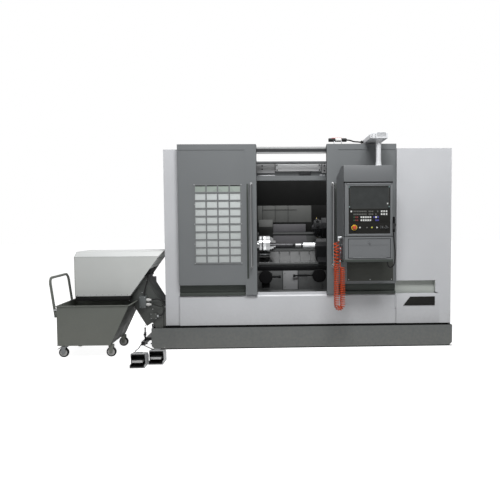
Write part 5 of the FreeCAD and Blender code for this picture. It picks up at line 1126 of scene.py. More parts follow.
# painted shade: a dark strip round the case's foot
keep("pendant_foot_shade", formed(
    [(0.3955, -1.1618), (0.9005, -1.1618), (0.9005, -0.9285), (0.3525, -0.9285)], "Z", 0.9402, 0.968,
    edge=0.003), SHADE_BAND_PAINT, "pendant")
keep("panel_frame_edges", face_plates(FACE, 0.003, 0.002, [(FRAME_LEFT, 1.213, 0.43, 1.735),
    (0.879, 1.213, FRAME_RIGHT, 1.735), (FRAME_LEFT, 1.723, FRAME_RIGHT, 1.735),
    (FRAME_LEFT, 1.209, FRAME_RIGHT, 1.221)], 0.0025), PENDANT_GREY, "pendant")
CASE_BACK = -0.9262
keep("case_back_cover", slab((0.38, -0.9302, 1.01), (0.87, CASE_BACK, 1.76), 0.0012),
    PENDANT_GREY, "pendant")
keep("case_back_screws", screw_heads(
    [(x, CASE_BACK, z) for x in (0.392, 0.625, 0.858) for z in (1.022, 1.385, 1.748)], 0.006, BACK),
    ZINC, "pendant")
# painted shade: dark plates in the vent slots
keep("case_side_vents", slabs(
    [((0.8985, -1.06 + step * 0.012, 1.56), (0.9004, -1.054 + step * 0.012, 1.68)) for step in range(9)],
    0.0008), DARK_PAINT, "pendant")
tally()

# %% [markdown]
# ## Pendant: screen and keys
# The black panel has a screen in its upper half, with a clip at each corner, and below it a film keypad:
# two dim rows of letter keys, two rows of white keys, a few red and green ones and a blue group.  The caps
# stay bare.  One cap is shaped and its copies fill the rows.

# %% Screen and keys
PANEL_FACE = -1.157
SCREEN_LEFT, SCREEN_RIGHT = 0.456, 0.862
BEZEL_PAINT = painted("bezel_paint", (0.03, 0.032, 0.031), roughness=0.5, gloss=0.2)
keep("screen_frame", face_plates(PANEL_FACE, 0.0012, 0.001, [
    (SCREEN_LEFT, 1.48, 0.4715, 1.703), (0.8465, 1.48, SCREEN_RIGHT, 1.703),
    (SCREEN_LEFT, 1.693, SCREEN_RIGHT, 1.703), (SCREEN_LEFT, 1.478, SCREEN_RIGHT, 1.4895)], 0.0008),
    BEZEL_PAINT, "pendant")
CLIP_PAINT = painted("clip_paint", (0.12, 0.175, 0.17), roughness=0.4)
clip_places = [(x - 0.006, z - 0.007, x + 0.006, z + 0.007) for x in (0.456, 0.86) for z in (1.5, 1.7)]
keep("screen_clips", face_plates(PANEL_FACE, 0.0028, 0.0, clip_places), CLIP_PAINT, "pendant")
keep("port_cover", slab((0.836, PANEL_FACE - 0.003, 1.525), (0.85, PANEL_FACE, 1.539), 0.0015),
    KEY_WHITE, "pendant")
keep("key_mat",
    slab((0.462, PANEL_FACE - 0.0016, 1.344), (0.862, PANEL_FACE + 0.0002, 1.47), 0.0008), PANEL_BLACK,
    "pendant", ["keypad"])
KEY_ROWS = (1.453, 1.4245, 1.395, 1.364)
KEY_PITCH = 0.017
SMALL_KEY = (0.0125, 0.015)
cap = slab((-0.5, -0.0022, -0.5), (0.5, 0.0, 0.5), 0.0001)


def key_caps(name, places, size, finish):
    """Keys of one colour at (x, row) places: copies of the cap, brought to size, with broken edges."""
    caps = []
    for x, row in places:
        key = twin_of(cap, turn=Matrix.Diagonal((size[0], 1.0, size[1], 1.0)))
        key.data.transform(Matrix.Translation((x, PANEL_FACE - 0.0014, KEY_ROWS[row])))
        caps.append(key)
    keep(name, eased(joined(caps), 0.0007), finish, "pendant")


def row_of(start, pitch, number, rows):
    return [(start + pitch * step, row) for step in range(number) for row in rows]


key_caps("keys_grey",
    row_of(0.503, KEY_PITCH, 8, (0, 1)) + row_of(0.656, KEY_PITCH, 3, (0, 1)) + [(0.723, 1), (0.742, 0)],
    SMALL_KEY, KEY_GREY)
key_caps("keys_white",
    row_of(0.5765, 0.0228, 5, (2, 3)) + row_of(0.783, 0.0245, 3, (0, 1)) + [(0.474, 0), (0.726, 2)],
    (0.016, 0.0165), KEY_WHITE)
key_caps("keys_red", row_of(0.52, KEY_PITCH, 2, (2, 3)), SMALL_KEY, KEY_RED)
key_caps("keys_green", row_of(0.503, KEY_PITCH, 1, (2, 3)), SMALL_KEY, KEY_GREEN)
key_caps("keys_blue", [(0.726, 3), (0.706, 2), (0.746, 2), (0.746, 3)], (0.015, 0.016), KEY_BLUE)
bpy.data.objects.remove(cap)
tally()

# %% [markdown]
# ## Pendant: emergency stop, buttons and knobs
# Along the panel's lower edge there are the emergency stop on its yellow collar, four small buttons in
# metal rings and two override knobs over their dials.  All are turned, and the stop's head and the knobs
# ride on the bodies that their joints move.

# %% Buttons and knobs
CONTROL_ROW = 1.29
STOP_X = 0.505
keep("stop_head", turned([(0.0, 0.0085), (0.004, 0.0085), (0.005, 0.0135), (0.007, 0.0185),
    (0.011, 0.0206), (0.017, 0.0204), (0.0215, 0.0175), (0.024, 0.011), (0.0248, 0.004)],
    (STOP_X, -1.158, CONTROL_ROW), FRONT, 48), STOP_RED, "e_stop", ["e_stop_button"])
keep("stop_collar", bored(turned(
    [(-0.0004, 0.0225), (0.0, 0.029), (0.0025, 0.029), (0.0038, 0.0278), (0.004, 0.0225)],
    (STOP_X, PANEL_FACE, CONTROL_ROW), FRONT, 48)), STOP_YELLOW, "pendant")


def panel_button(number, x, finish):
    """A small button in its metal ring."""
    place = (x, PANEL_FACE, CONTROL_ROW)
    ring = turned([(0.0, 0.0102), (0.003, 0.0102), (0.0038, 0.0095), (0.004, 0.008), (0.0015, 0.0076)],
        place, FRONT, 28)
    face = turned([(0.001, 0.0074), (0.0055, 0.0074), (0.0066, 0.0062), (0.007, 0.004)], place, FRONT, 28)
    keep("button_" + str(number), joined([finished(ring, BLACKED), finished(face, finish)]),
        body="pendant")


panel_button(1, 0.562, KEY_WHITE)
panel_button(2, 0.633, KEY_GREY)
panel_button(3, 0.684, BUTTON_YELLOW)
panel_button(4, 0.735, KEY_WHITE)


def override_knob(kind, x):
    """A knob with a skirt and twelve grip ribs, its pointer, and the dial marks that stay on the panel."""
    parts = [
        turned([(0.0004, 0.015), (0.0025, 0.015), (0.0035, 0.0118), (0.017, 0.0108), (0.0185, 0.0092)],
            (0.0, 0.0, 0.0), FRONT, 36)]
    for step in range(12):
        rib = slab((-0.001, -0.0165, 0.01), (0.001, -0.0036, 0.0126), 0.0004)
        rib.data.transform(Matrix.Rotation(math.radians(30.0 * step), 4, "Y"))
        parts.append(rib)
    for part in parts:
        finished(part, DARK_PAINT)
    parts.append(finished(slab((-0.0008, -0.019, 0.001), (0.0008, -0.018, 0.0088), 0.0002), KEY_WHITE))
    knob = joined(parts)
    knob.data.transform(Matrix.Translation((x, PANEL_FACE, CONTROL_ROW)))
    keep(kind + "_knob_grip", knob, body=kind + "_knob",
        stands_for=[kind + "_override_knob"])
    marks = []
    for step in range(9):
        mark = slab((-0.0005, -0.0006, 0.0165), (0.0005, 0.0002, 0.02), 0.0001)
        mark.data.transform(Matrix.Rotation(math.radians(-120.0 + 30.0 * step), 4, "Y"))
        marks.append(mark)
    dial = joined(marks)
    dial.data.transform(Matrix.Translation((x, PANEL_FACE, CONTROL_ROW)))
    keep(kind + "_dial_marks", dial, KEY_WHITE, "pendant")


override_knob("feed", 0.785)
override_knob("spindle", 0.831)
tally()

# %% [markdown]
# ## Pendant: document box lock and hand unit
# The document box folds down on a hinge and has one small round lock.  The hand unit hangs in a holder on
# the right side: a soft-edged black case with a wheel, two selector knobs and a thumb button.

# %% Lock and hand unit
keep("box_lock", joined([
    finished(turned([(0.0, 0.0135), (0.002, 0.0135), (0.0035, 0.012), (0.009, 0.011), (0.0095, 0.006)],
        (0.659, -1.159, 1.139), FRONT, 32), DARK_PAINT),
    finished(slab((0.6575, -1.1692, 1.133), (0.6605, -1.1684, 1.145), 0.0003), BLACKED)]),
    body="document_door")
UNIT_FACE = 0.9248
unit_case = slab((0.9006, -1.1395, 1.238), (0.925, -1.085, 1.3985), 0.007)
unit_wheel = turned([(0.0, 0.019), (0.0035, 0.019), (0.0045, 0.017), (0.01, 0.0165), (0.0112, 0.015)],
    (UNIT_FACE, UNIT_Y, 1.315), RIGHT, 36)
unit_crank = turned([(0.0, 0.0035), (0.0016, 0.0035)], (0.9352, UNIT_Y, 1.327), RIGHT, 16)
unit_knobs = [turned([(0.0, 0.007), (0.005, 0.007), (0.0062, 0.0058)], (UNIT_FACE, y, 1.37), RIGHT, 20)
    for y in (-1.126, -1.098)]
unit_button = slab((0.924, -1.12, 1.256), (0.9275, -1.104, 1.272), 0.002)
keep("hand_unit", joined([
    finished(unit_case, BLACK_AND_SHADE),
    finished(unit_wheel, CABLE_BLACK),
    finished(unit_crank, KEY_WHITE),
    finished(unit_button, KEY_WHITE)] + [finished(knob, BLACKED) for knob in unit_knobs]), body="pendant",
    stands_for=["pulse_handset"])
keep("hand_unit_holder", slabs([((0.899, -1.144, 1.27), (0.903, -1.08, 1.33)),
    ((0.899, -1.144, 1.27), (0.92, -1.1405, 1.33)), ((0.899, -1.084, 1.27), (0.92, -1.08, 1.33))], 0.001),
    DARK_PAINT, "pendant")
tally()

# %% [markdown]
# ## Arm and lamp
# The pendant hangs from a white post under a louvred head.  The post widens into both of its ends, and the
# head has screws and a cable gland.  A three-part lamp lies behind the rail, black at its ends, white in
# the middle and red on top, with a black lead into the head.

# %% Arm and lamp
POST_X, POST_Y = 0.77, -1.06
keep("post_flares", joined([
    turned([(0.0, 0.0265), (0.03, 0.0275), (0.06, 0.031), (0.08, 0.037), (0.0905, 0.045)],
        (POST_X, POST_Y, 2.101), sides=40),
    turned([(0.0, 0.04), (0.004, 0.04), (0.007, 0.037), (0.01, 0.03), (0.045, 0.0268)],
        (POST_X, POST_Y, 1.9176), sides=40)]), ARM_WHITE)
keep("arm_screws",
    screw_heads([(x, -1.13, z) for x in (0.69, 0.725) for z in (2.206, 2.226)], 0.006), ZINC)
# painted shade: grey strips in the louvre slots of the white head
keep("louvre_slot_shade", slabs([
    ((0.7425, -1.1292, 2.2105 + 0.012 * row), (0.8315, -1.1262, 2.2145 + 0.012 * row)) for row in range(4)],
    0.0004), DOOR_GREY)
keep("arm_cable_gland", turned(
    [(0.0, 0.014), (0.008, 0.014), (0.01, 0.017), (0.02, 0.017), (0.026, 0.009)], (0.672, -0.712, 2.213),
    LEFT, 24), CABLE_BLACK)
LAMP_Y, LAMP_Z = -0.712, 2.236


def lamp_part(x, stations, finish):
    return finished(turned(stations, (x, LAMP_Y, LAMP_Z), RIGHT), finish)


lamp_parts = [
    lamp_part(0.296, [(0.0, 0.016), (0.004, 0.02), (0.07, 0.02), (0.074, 0.017)], CABLE_BLACK),
    lamp_part(0.37, [(0.0, 0.019), (0.002, 0.021), (0.064, 0.021), (0.066, 0.019)], PLASTIC_WHITE),
    lamp_part(0.436, [(0.0, 0.017), (0.004, 0.02), (0.052, 0.02), (0.06, 0.012)], CABLE_BLACK),
    finished(slab((0.33, LAMP_Y - 0.008, LAMP_Z + 0.015), (0.44, LAMP_Y + 0.008, LAMP_Z + 0.025), 0.004),
        LAMP_RED)]
lamp_parts += [
    finished(slab((x, LAMP_Y - 0.018, 2.1275), (x + 0.007, LAMP_Y + 0.018, LAMP_Z - 0.012), 0.001), ZINC)
    for x in (0.355, 0.435)]
lamp_parts.append(finished(slab((0.34, -0.7445, 2.124), (0.46, LAMP_Y + 0.018, 2.129), 0.001), ZINC))
lamp_lead = [(0.494, LAMP_Y, LAMP_Z), (0.53, LAMP_Y, LAMP_Z - 0.002), (0.57, LAMP_Y, LAMP_Z - 0.018),
    (0.615, LAMP_Y, LAMP_Z - 0.02), (0.636, LAMP_Y, 2.213), (0.654, LAMP_Y, 2.213)]
lamp_parts.append(finished(bent_bar(lamp_lead, 0.0075), CABLE_BLACK))
keep("work_lamp", joined(lamp_parts), stands_for=["machine_lamp"])
tally()

# %% [markdown]
# ## Conveyor hood
# The hood is bent from pale sheet.  Its top and the broken corner along it get a paler paint than its front,
# as painted light from above, and a black strip across its sloping side, where it meets the trunk, is
# painted shade.  A rubber skirt hangs round its foot so that chips fall into the cart.  Sloping places get a
# plate that is made from four corners and given its thickness.

# %% Hood
HOOD_LEFT = -2.4
HOOD_FRONT = -0.9
HOOD_BACK = -0.4
HOOD_TOP = 1.053
HOOD_SLOPE = (1.484 - 1.826) / (1.053 - 0.588)


def hood_end(z):
    """Where the hood's sloping right side is at the height z."""
    return -1.484 + (HOOD_TOP - z) * HOOD_SLOPE


def plate_on(corners, thickness):
    """A thin plate over four corners, which may slope; it gets its thickness on the side they face."""
    set_aside()
    bpy.ops.mesh.primitive_circle_add(vertices=4, radius=1.0, fill_type="NGON")
    piece = bpy.context.object
    for vertex, corner in zip(piece.data.vertices, corners):
        vertex.co = corner
    piece.data.update()
    take_up(piece)
    solid = piece.modifiers.new("thickness", "SOLIDIFY")
    solid.thickness = thickness
    solid.offset = 1.0
    bpy.ops.object.modifier_apply(modifier="thickness")
    return eased(piece, 0.0008)


HOOD_BEND = -0.827
# painted light: the hood's top and its broken corner get a paler paint than its front
bevel_cover = plate_on([
    (HOOD_LEFT + 0.001, HOOD_FRONT, 1.0015),
    (hood_end(1.0015) - 0.002, HOOD_FRONT, 1.0015),
    (hood_end(HOOD_TOP) - 0.002, HOOD_BEND, HOOD_TOP - 0.0006),
    (HOOD_LEFT + 0.001, HOOD_BEND, HOOD_TOP - 0.0006)], 0.0012)
top_cover = slab((HOOD_LEFT + 0.001, HOOD_BEND, HOOD_TOP - 0.0005),
    (hood_end(HOOD_TOP) - 0.002, HOOD_BACK, HOOD_TOP + 0.001), 0.0006)
keep("hood_lit_top_plates", joined([bevel_cover, top_cover]),
    painted("hood_lit_top_paint", (0.66, 0.675, 0.67), roughness=0.4))
keep("hood_seams", slabs([
    ((HOOD_LEFT - 0.0006, HOOD_FRONT - 0.0007, 0.9998), (hood_end(1.0), HOOD_FRONT + 0.002, 1.0008)),
    ((HOOD_LEFT + 0.009, HOOD_FRONT - 0.001, 0.589), (HOOD_LEFT + 0.01, HOOD_FRONT + 0.002, 1.0))], 0.0002),
    TRUNK_GREY)
SKIRT_LEFT, SKIRT_RIGHT = HOOD_LEFT + 0.004, -1.83
SKIRT_FRONT, SKIRT_BACK = HOOD_FRONT + 0.004, HOOD_BACK - 0.004
SKIRT_LOW, SKIRT_HIGH = 0.542, 0.59
SKIRT = 0.003
keep("hood_skirt", slabs([
    ((SKIRT_LEFT, SKIRT_FRONT, SKIRT_LOW), (SKIRT_RIGHT, SKIRT_FRONT + SKIRT, SKIRT_HIGH)),
    ((SKIRT_LEFT, SKIRT_BACK - SKIRT, SKIRT_LOW), (SKIRT_RIGHT, SKIRT_BACK, SKIRT_HIGH)),
    ((SKIRT_LEFT, SKIRT_FRONT, SKIRT_LOW), (SKIRT_LEFT + SKIRT, SKIRT_BACK, SKIRT_HIGH)),
    ((SKIRT_RIGHT - SKIRT, SKIRT_FRONT, SKIRT_LOW), (SKIRT_RIGHT, SKIRT_BACK, SKIRT_HIGH))], 0.001),
    TYRE_BLACK)
keep("hood_skirt_rivets",
    screw_heads(along((HOOD_LEFT + 0.03, HOOD_FRONT, 0.602), (-1.85, HOOD_FRONT, 0.602), 9), 0.005), ZINC)


def slope_band(low, high, inset, thickness):
    """A strip across the hood's sloping side, between two heights."""
    near, far = HOOD_FRONT + inset, HOOD_BACK - inset
    foot, head = hood_end(low) + 0.0004, hood_end(high) + 0.0004
    return plate_on([(foot, near, low), (foot, far, low), (head, far, high), (head, near, high)], thickness)


# painted shade: a black strip across the sloping side, where the hood meets the trunk
keep("hood_mouth_shade", slope_band(0.79, 0.87, 0.004, 0.0016), TYRE_BLACK)
keep("hood_slope_seams",
    joined([slope_band(z, z + 0.004, 0.002, 0.0012) for z in (0.62, 0.905, 0.975)]), TRUNK_GREY)
tally()

# %% [markdown]
# ## Conveyor trunk
# The dark trunk climbs at a slant, so places on its front are counted along its run and out of its middle
# line.  It has rows of screws and a flat panel, and a small box with round plugs sits on its front, from
# which black leads loop to the machine.

# %% Trunk
TRUNK_FRONT = -0.82
TRUNK_FOOT = Vector((-1.576, 0.0, 0.228))
TRUNK_RUN = Vector((-0.5225, 0.0, 0.8526))
TRUNK_OUT = Vector((0.8526, 0.0, 0.5225))


def on_trunk(run, out):
    """A place on the trunk's front, so far up its run and so far out of its middle line."""
    place = TRUNK_FOOT + TRUNK_RUN * run + TRUNK_OUT * out
    return (place.x, TRUNK_FRONT, place.z)


keep("trunk_screws", screw_heads(
    [on_trunk(run, out) for run in (0.085, 0.19, 0.295, 0.4, 0.505) for out in (-0.08, 0.08)],
    0.0055), ZINC)
trunk_corners = [on_trunk(run, out)
    for run, out in ((0.07, -0.07), (0.07, 0.07), (0.48, 0.07), (0.48, -0.07))]
keep("trunk_side_panel", plate_on(trunk_corners, 0.0025), TRUNK_GREY)
sensor_box = finished(slab((-1.742, -0.862, 0.448), (-1.668, TRUNK_FRONT, 0.578), 0.005), TANK_GREY)
sensor_lid = finished(slab((-1.736, -0.866, 0.456), (-1.674, -0.861, 0.57), 0.003), TANK_GREY)
sensor_parts = [
    sensor_box,
    sensor_lid,
    finished(screw_heads([(x, -0.8655, z) for x in (-1.73, -1.68) for z in (0.463, 0.563)], 0.0035), ZINC)]
for z in (0.485, 0.535):
    sensor_parts.append(finished(turned(
        [(0.0, 0.013), (0.006, 0.013), (0.008, 0.017), (0.03, 0.017), (0.034, 0.012), (0.052, 0.01)],
        (-1.668, -0.842, z), RIGHT, 24), PLASTIC_WHITE))
keep("sensor_box", joined(sensor_parts))
LEAD_RADIUS = 0.0055
SENSOR_ROUTES = (
    [(-1.617, -0.842, 0.535), (-1.59, -0.842, 0.535), (-1.56, -0.845, 0.545), (-1.525, -0.842, 0.535),
        (-1.5, -0.83, 0.52), (-1.48, -0.805, 0.512)],
    [(-1.617, -0.842, 0.485), (-1.585, -0.842, 0.482), (-1.55, -0.848, 0.47), (-1.51, -0.842, 0.462),
        (-1.49, -0.826, 0.48), (-1.478, -0.805, 0.49)],
    [(-1.69, -0.846, 0.578), (-1.684, -0.848, 0.64), (-1.66, -0.85, 0.72), (-1.64, -0.846, 0.77),
        (-1.655, -0.835, 0.8), (-1.69, -0.828, 0.812)],
    [(-1.552, -0.838, 0.362), (-1.535, -0.842, 0.362), (-1.505, -0.842, 0.37), (-1.488, -0.826, 0.41),
        (-1.478, -0.805, 0.44)])
keep("sensor_leads",
    joined([bent_bar(route, LEAD_RADIUS, steps=8) for route in SENSOR_ROUTES]), CABLE_BLACK)
keep("junction_plug", joined([
    turned([(0.0, 0.012), (0.004, 0.014), (0.016, 0.014), (0.02, 0.009)], (-1.56, -0.838, 0.362), RIGHT,
        24),
    screw_heads([(x, -0.854, z) for x in (-1.62, -1.568) for z in (0.338, 0.384)], 0.0035)]), ZINC)
tally()

# %% [markdown]
# ## Gearmotor
# Behind the hood the conveyor's gearmotor has a finned body, a fan cowl with slots, a terminal box and the
# screws of its gearbox.  The fins are one slim plate that is copied round the motor's axis.

# %% Gearmotor
MOTOR_Y, MOTOR_Z = -0.338, 0.675
fin = slab((-1.985, -0.0009, 0.056), (-1.825, 0.0009, 0.0605), 0.0004)
fin_angles = [12.0 * step for step in range(30) if not 60.0 < 12.0 * step < 120.0]
motor_fins = joined(
    [twin_of(fin, turn=Matrix.Rotation(math.radians(angle), 4, "X")) for angle in fin_angles])
bpy.data.objects.remove(fin)
motor_fins.data.transform(Matrix.Translation((0.0, MOTOR_Y, MOTOR_Z)))
keep("gearmotor_fins", motor_fins, MOTOR_PAINT)
COWL_SLOTS = ((-0.032, 0.03), (-0.019, 0.04), (-0.006, 0.045), (0.007, 0.045), (0.02, 0.04), (0.033, 0.03))
# painted shade: dark plates in the cowl's slots
cowl_slots = slabs(
    [((-2.0325, MOTOR_Y - half, MOTOR_Z + row - 0.002), (-2.0312, MOTOR_Y + half, MOTOR_Z + row + 0.002))
        for row, half in COWL_SLOTS], 0.0004)
keep("gearmotor_cowl_slots", cowl_slots, DARK_PAINT)
keep("gearbox_screws", screw_heads(
    [(-1.7415 + dx, -0.28, MOTOR_Z + dz) for dx in (-0.058, 0.058) for dz in (-0.048, 0.048)], 0.006,
    BACK), ZINC)
tally()

# %% [markdown]
# ## Chip cart
# The cart is a welded bin of green-grey sheet.  Its rim is folded outward, its tube handle is clamped at
# two feet, and it rolls on rubber-tyred castors with pale slotted hubs.  One wheel is turned and given its
# slots, and the other three are copies.  The front castors have a brake pedal.

# %% Cart wheels and forks
WHEEL_RADIUS = 0.05
WHEEL_PLACES = [(-2.445, -1.118), (-2.445, -0.642), (-1.968, -1.118), (-1.968, -0.642)]


def cart_wheel():
    """A tyre with rounded shoulders round a dished hub with five dark slots, its axle along Y."""
    tyre = turned([(-0.015, 0.036), (-0.0158, 0.044), (-0.012, 0.0482), (-0.006, 0.0498), (0.006, 0.0498),
        (0.012, 0.0482), (0.0158, 0.044), (0.015, 0.036)], (0.0, 0.0, 0.0), FRONT, 48)
    hub = turned([(-0.016, 0.0362), (-0.0154, 0.03), (-0.013, 0.028), (0.013, 0.028), (0.0154, 0.03),
        (0.016, 0.0362)], (0.0, 0.0, 0.0), FRONT, 40)
    centre = turned([(-0.0176, 0.0095), (-0.0168, 0.0125), (0.0168, 0.0125), (0.0176, 0.0095)],
        (0.0, 0.0, 0.0), FRONT, 24)
    slots = []
    # painted shade: the hub's slots are dark plates
    for step in range(5):
        for side in (-1.0, 1.0):
            slot = slab((-0.0045, -0.0004, 0.016), (0.0045, 0.0006, 0.0265), 0.0004)
            slot.data.transform(Matrix.Translation((0.0, side * 0.013, 0.0)))
            slot.data.transform(Matrix.Rotation(math.radians(72.0 * step), 4, "Y"))
            slots.append(finished(slot, DARK_PAINT))
    return joined([finished(tyre, TYRE_BLACK), finished(hub, HUB_GREY), finished(centre, ZINC)] + slots)


first_wheel = cart_wheel()
for number, (x, y) in enumerate(WHEEL_PLACES, 1):
    keep("wheel_" + str(number), twin_of(first_wheel, (x, y, WHEEL_RADIUS)),
        body="wheel_" + str(number), stands_for=["cart_wheel_" + str(number)])
bpy.data.objects.remove(first_wheel)
tally()

# %% [markdown]
# ## Cart rim, clamps and sloping end
# The rim has a folded edge along both long sides, and a lower fold runs along the foot of the front.  The
# handle is clamped to one end of the bin.  At the other end near-black plates cover the sloping sheet as
# painted shade on the end that faces down.

# %% Cart rim and clamps
CART_TOP = 0.528
CART_LEFT, CART_RIGHT = -2.495, -1.774
CART_FRONT, CART_BACK = -1.16, -0.6
CLAMP_ROWS = (0.42, 0.48)
CLAMP_PLACES = (-1.13, -0.63)
CART_RIM = painted("cart_rim_paint", (0.16, 0.172, 0.152), roughness=0.45)
RIM_SIDES = ((CART_FRONT - 0.0085, CART_FRONT + 0.002), (CART_BACK - 0.002, CART_BACK + 0.0085))
rim_edges = slabs(
    [((CART_LEFT - 0.0085, front, CART_TOP - 0.0006), (CART_RIGHT + 0.008, back, CART_TOP + 0.001))
        for front, back in RIM_SIDES], 0.0006)
keep("cart_rim_edges", rim_edges, CART_RIM, "cart")
keep("cart_low_fold",
    slab((CART_LEFT - 0.0012, CART_FRONT - 0.0012, 0.124), (-1.964, CART_FRONT + 0.0005, 0.133), 0.0008),
    CART_GREEN, "cart")
clamp_blocks = slabs(
    [((-2.529, y - 0.018, z), (-2.496, y + 0.018, z + 0.012)) for y in CLAMP_PLACES for z in CLAMP_ROWS],
    0.002)
clamp_screws = screw_heads([(-2.529, y, z + 0.006) for y in CLAMP_PLACES for z in CLAMP_ROWS], 0.005,
    LEFT)
keep("handle_clamps", joined([clamp_blocks, clamp_screws]), ZINC, "cart")
slope_foot = Vector((-1.965, 0.0, 0.126))
slope_head = Vector((-1.774, 0.0, 0.528))
slope_out = Vector((slope_head.z - slope_foot.z, 0.0, -(slope_head.x - slope_foot.x))).normalized()
# painted shade: near-black plates over the cart's downward-facing sloping end
slope_shade = []
for y_low, y_high, start, stop, rise in ((-1.159, -0.601, 0.01, 0.98, 0.0002),
    (-1.158, -1.13, 0.02, 0.97, 0.0014), (-0.63, -0.602, 0.02, 0.97, 0.0014),
    (-1.13, -0.63, 0.02, 0.09, 0.0014), (-1.13, -0.63, 0.9, 0.97, 0.0014)):
    foot = slope_foot.lerp(slope_head, start) + slope_out * rise
    head = slope_foot.lerp(slope_head, stop) + slope_out * rise
    slope_shade.append(plate_on([(foot.x, y_low, foot.z), (foot.x, y_high, foot.z),
        (head.x, y_high, head.z), (head.x, y_low, head.z)], 0.0012))
keep("cart_slope_shade", joined(slope_shade),
    painted("cart_slope_shade_paint", (0.022, 0.024, 0.021), roughness=0.55, gloss=0.2), "cart")
tally()

# %% [markdown]
# ## Foot rail and pedals
# A slotted rail with levelling bolts and locknuts stands at the tank's end.  Each pedal is an aluminium
# guard whose paint is taken nearly black inside as painted shade, with a ribbed rubber tread whose front
# edge is bare metal, painted pale, partly as a painted highlight.

# %% Foot rail and pedals


def levelling_bolt(x, y, head):
    """A threaded bolt with a swivel foot, two nuts and a square head, upright at (x, y)."""
    rod = [(0.012, 0.008)]
    level = 0.012
    while level < head - 0.018:
        rod += [(level + 0.002, 0.0068), (level + 0.004, 0.008)]
        level += 0.004
    nuts = [[(low, 0.013), (low + 0.0015, 0.0145), (low + 0.0105, 0.0145), (low + 0.012, 0.013)]
        for low in (0.03, head - 0.07)]
    square = [(head - 0.018, 0.007), (head - 0.016, 0.0085), (head - 0.002, 0.0085), (head, 0.0065)]
    swivel = [(0.0, 0.026), (0.006, 0.026), (0.01, 0.014), (0.014, 0.01)]
    return joined([turned(stations, (x, y, 0.0), sides=sides)
        for stations, sides in ((rod, 16), (swivel, 28), (square, 4), (nuts[0], 6), (nuts[1], 6))])


keep("rail_bolts", joined(
    [levelling_bolt(x, y, head) for x, head in ((-1.752, 0.186), (-1.668, 0.226)) for y in (-0.56, -0.02)]),
    BLACKED)
# the tread's front edge is bare metal painted pale, and part of that paleness is a painted highlight
TREAD_METAL_AND_HIGHLIGHT = painted("tread_metal_and_highlight_paint", (0.5, 0.5, 0.5), roughness=0.4)
PEDALS = ((-1.6, -1.595), (-1.452, -1.475))
for number, (x, front) in enumerate(PEDALS, 1):
    ribs = [finished(slab((x - 0.052, front + 0.024 + 0.0125 * step, 0.0716),
        (x + 0.052, front + 0.03 + 0.0125 * step, 0.0735), 0.0006), TYRE_BLACK) for step in range(10)]
    nose = finished(slab((x - 0.05, front + 0.0105, 0.05), (x + 0.05, front + 0.0145, 0.0712), 0.0015),
        TREAD_METAL_AND_HIGHLIGHT)
    keep("tread_" + str(number), joined([nose] + ribs), body="pedal_" + str(number))
    heads = screw_heads([(x + dx, front + dy, 0.128) for dx in (-0.055, 0.055) for dy in (0.03, 0.165)],
        0.004, UP)
    plate = slab((x - 0.03, front + 0.06, 0.1276), (x + 0.03, front + 0.12, 0.1292), 0.0006)
    keep("pedal_guard_screws_" + str(number), joined([heads, plate]), CAST_ALUMINIUM)
tally()

# %% [markdown]
# ## Doors and panels at the back, sides and top
# The back is a row of sheet panels: a cabinet with two doors behind the chamber, and a screwed panel on
# each box.  Doors have hinges and quarter-turn locks, panels have a row of screws along each edge, and the
# cabinet's vents have small pressed hoods.  Only what such covers need to be opened is put there.

# %% Panels
BACK_FACE = 0.8
PANEL_RISE = 0.003
SCREW_SPACING = 0.24
FACES = {
    "back": (Vector(RIGHT), Vector(BACK)),
    "left": (Vector(BACK), Vector(LEFT)),
    "right": (Vector(BACK), Vector(RIGHT)),
    "top": (Vector(RIGHT), Vector(UP))}


def screwed_panel(name, face, low, high):
    """A raised sheet between two corners on a face, with a screw row along its edges."""
    across, out = FACES[face]
    up = Vector(BACK) if face == "top" else Vector(UP)
    low, high = Vector(low), Vector(high)
    sheet = slab(low - out * 0.0005, high + out * PANEL_RISE, 0.0015)
    inset = 0.022
    start, stop = low + (across + up) * inset, high - (across + up) * inset
    width, height = (stop - start).dot(across), (stop - start).dot(up)
    places = []
    columns = max(round(width / SCREW_SPACING), 1)
    rows = max(round(height / SCREW_SPACING), 1)
    for share in (step / columns for step in range(columns + 1)):
        places += [start + across * width * share, start + across * width * share + up * height]
    for share in (step / rows for step in range(1, rows)):
        places += [start + up * height * share, start + up * height * share + across * width]
    heads = finished(screw_heads([place + out * PANEL_RISE for place in places], 0.0055, tuple(out), 8),
        ZINC)
    keep(name, joined([finished(sheet, COVER_WHITE), heads]))


screwed_panel("back_panel_left", "back", (-1.41, BACK_FACE, 0.33), (-0.56, BACK_FACE, 2.04))
screwed_panel("back_panel_right", "back", (1.07, BACK_FACE, 0.33), (1.55, BACK_FACE, 2.04))
screwed_panel("side_panel_left", "left", (-1.474, -0.3, 0.52), (-1.474, 0.73, 2.05))
screwed_panel("side_panel_right", "right", (1.608, -0.72, 0.33), (1.608, 0.72, 2.05))
screwed_panel("top_panel_left", "top", (-1.4, -0.69, 2.13), (-0.57, 0.73, 2.13))
screwed_panel("top_panel_right", "top", (1.08, -0.69, 2.13), (1.54, 0.73, 2.13))
tally()

# %% Cabinet doors
DOOR_LOW, DOOR_HIGH = 0.3, 1.5


